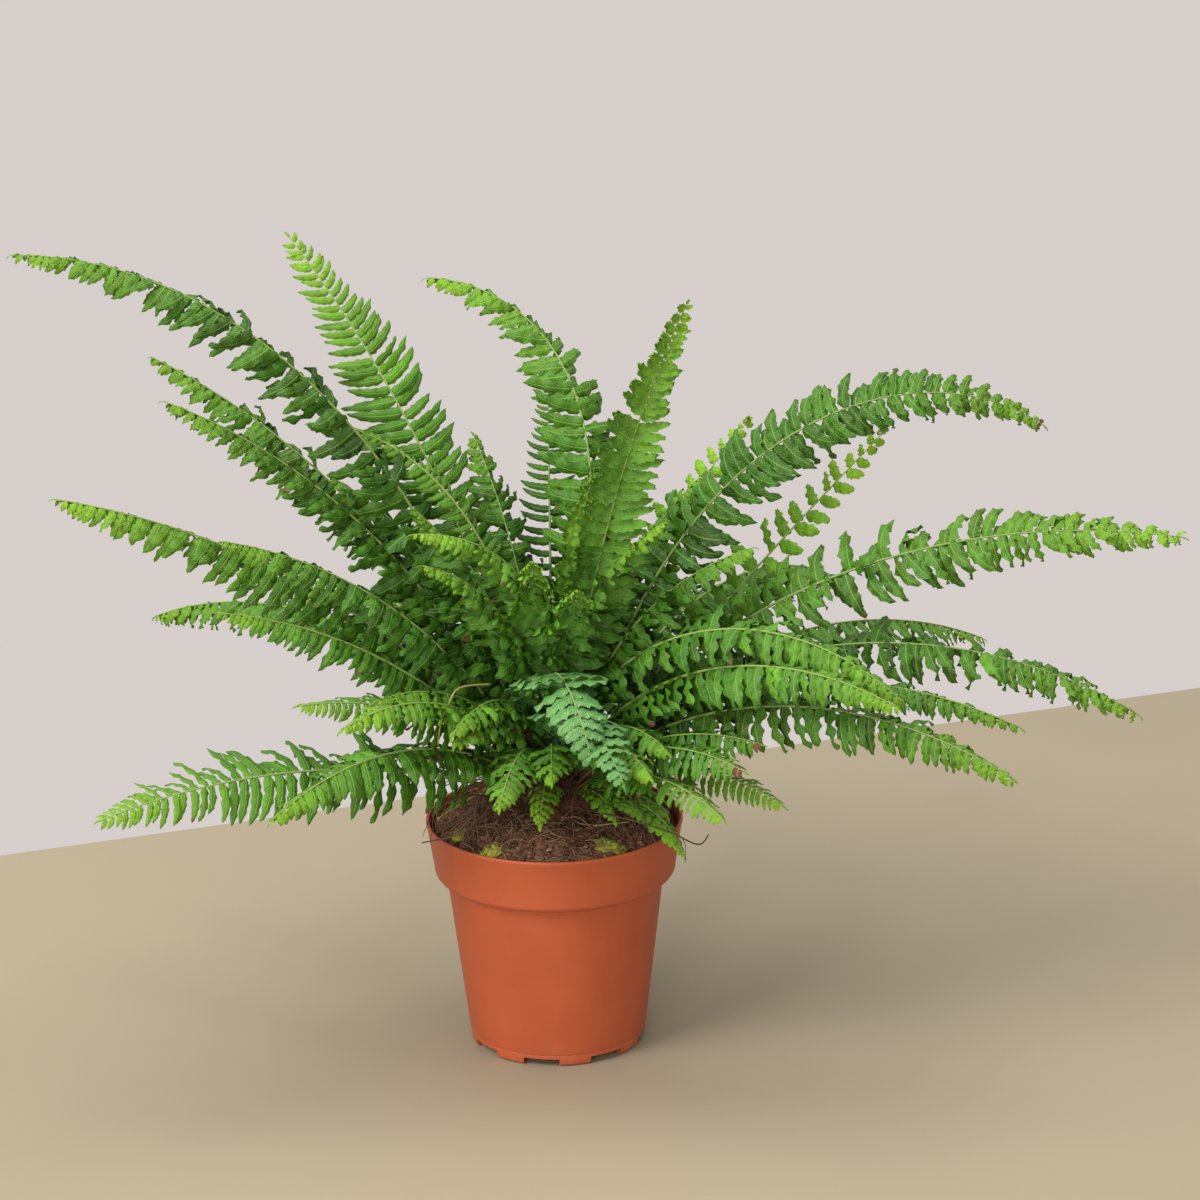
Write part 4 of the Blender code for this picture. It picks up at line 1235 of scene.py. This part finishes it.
# Tone (0 dark, 1 straw), thickness and places of the loose bits among the wires: a straw-coloured runner
# high on the left, two dry sticks on the soil and the stub of an old stalk.
LOOSE_ENDS = (
    (
        0.9,
        0.0005,
        (
            (227, 0.018, 0.076),
            (224, 0.035, 0.078),
            (224, 0.042, 0.072),
            (223, 0.046, 0.063),
            (222, 0.047, 0.053),
        ),
    ),
    (0.8, 0.0006, ((193, 0.033, 0.004), (186, 0.018, 0.010), (184, 0.010, 0.013))),
    (0.9, 0.0004, ((302, 0.012, 0.006), (322, 0.022, 0.007))),
    (0.25, 0.0030, ((350, 0.023, 0.001), (350, 0.0225, 0.006), (350, 0.0215, 0.012))),
)


def model_wires(dice):
    """Dark bare runners that loop from the crown over the soil, with a few loose bits among them."""
    lines = []
    for _ in range(WIRES):
        heading = dice.gauss(220, 18) if dice.random() < 0.7 else dice.gauss(318, 14)
        far = dice.uniform(0.022, 0.038)
        top = dice.uniform(0.010, 0.032)
        veer = dice.gauss(0, 14)
        places = [
            polar(heading + dice.gauss(0, 8), -0.003, dice.uniform(0.010, 0.020)),
            polar(heading + veer * 0.5, far * 0.45, top),
            polar(heading + veer, far * 0.85, top * 0.75),
            polar(heading + veer * 1.4 + dice.gauss(0, 8), far, dice.uniform(-0.001, 0.008)),
        ]
        line = through(places, 6)
        thick = dice.uniform(0.00022, 0.00045)
        lines.append([(place, thick * (1 - 0.5 * i / len(line))) for i, place in enumerate(line)])
    tones = [0.08] * len(lines)
    for tone, thick, places in LOOSE_ENDS:
        line = through([polar(*place) for place in places], 7)
        lines.append([(place, thick * (1 - 0.3 * i / len(line))) for i, place in enumerate(line)])
        tones.append(tone)
    wires = stem("loose_runners", lines, RUNNER, "stalk_place", lambda k, share: (share, tones[k], 0.0), 1)
    finish_piece(wires, "runner")


def model_moss():
    """Flat lumpy cushions that follow the soil."""
    for name in ("moss_front_right", "moss_front_left", "moss_left"):
        low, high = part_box(name)
        middle = (low + high) / 2
        half = (high - low) / 2
        deselect()
        bpy.ops.mesh.primitive_ico_sphere_add(subdivisions=4, radius=1)
        cushion = bpy.context.active_object
        cushion.name = f"{name}_cushion"
        for vert in cushion.data.vertices:
            lump = 1 + 0.55 * noise.fractal(vert.co * 2.2 + middle * 90, 0.8, 2.2, 4)
            spread = Vector((vert.co.x * half.x * lump, vert.co.y * half.y * lump, 0))
            radius = (middle.xy + spread.xy).length
            ground = mound_height(radius)
            rise = max(-0.5, vert.co.z) * 0.0013 * lump
            vert.co = Vector((middle.x + spread.x, middle.y + spread.y, ground + rise))
        smooth(cushion)
        cushion.data.materials.append(MOSS)
        finish_piece(cushion, "moss", name)


model_pot()
model_soil()
soil_dice = random.Random(11)
model_crumbs(soil_dice)
model_strands(soil_dice)
model_crown()
model_scales(random.Random(12))
model_fronds()
model_runners(random.Random(13))
model_wires(random.Random(15))
model_moss()
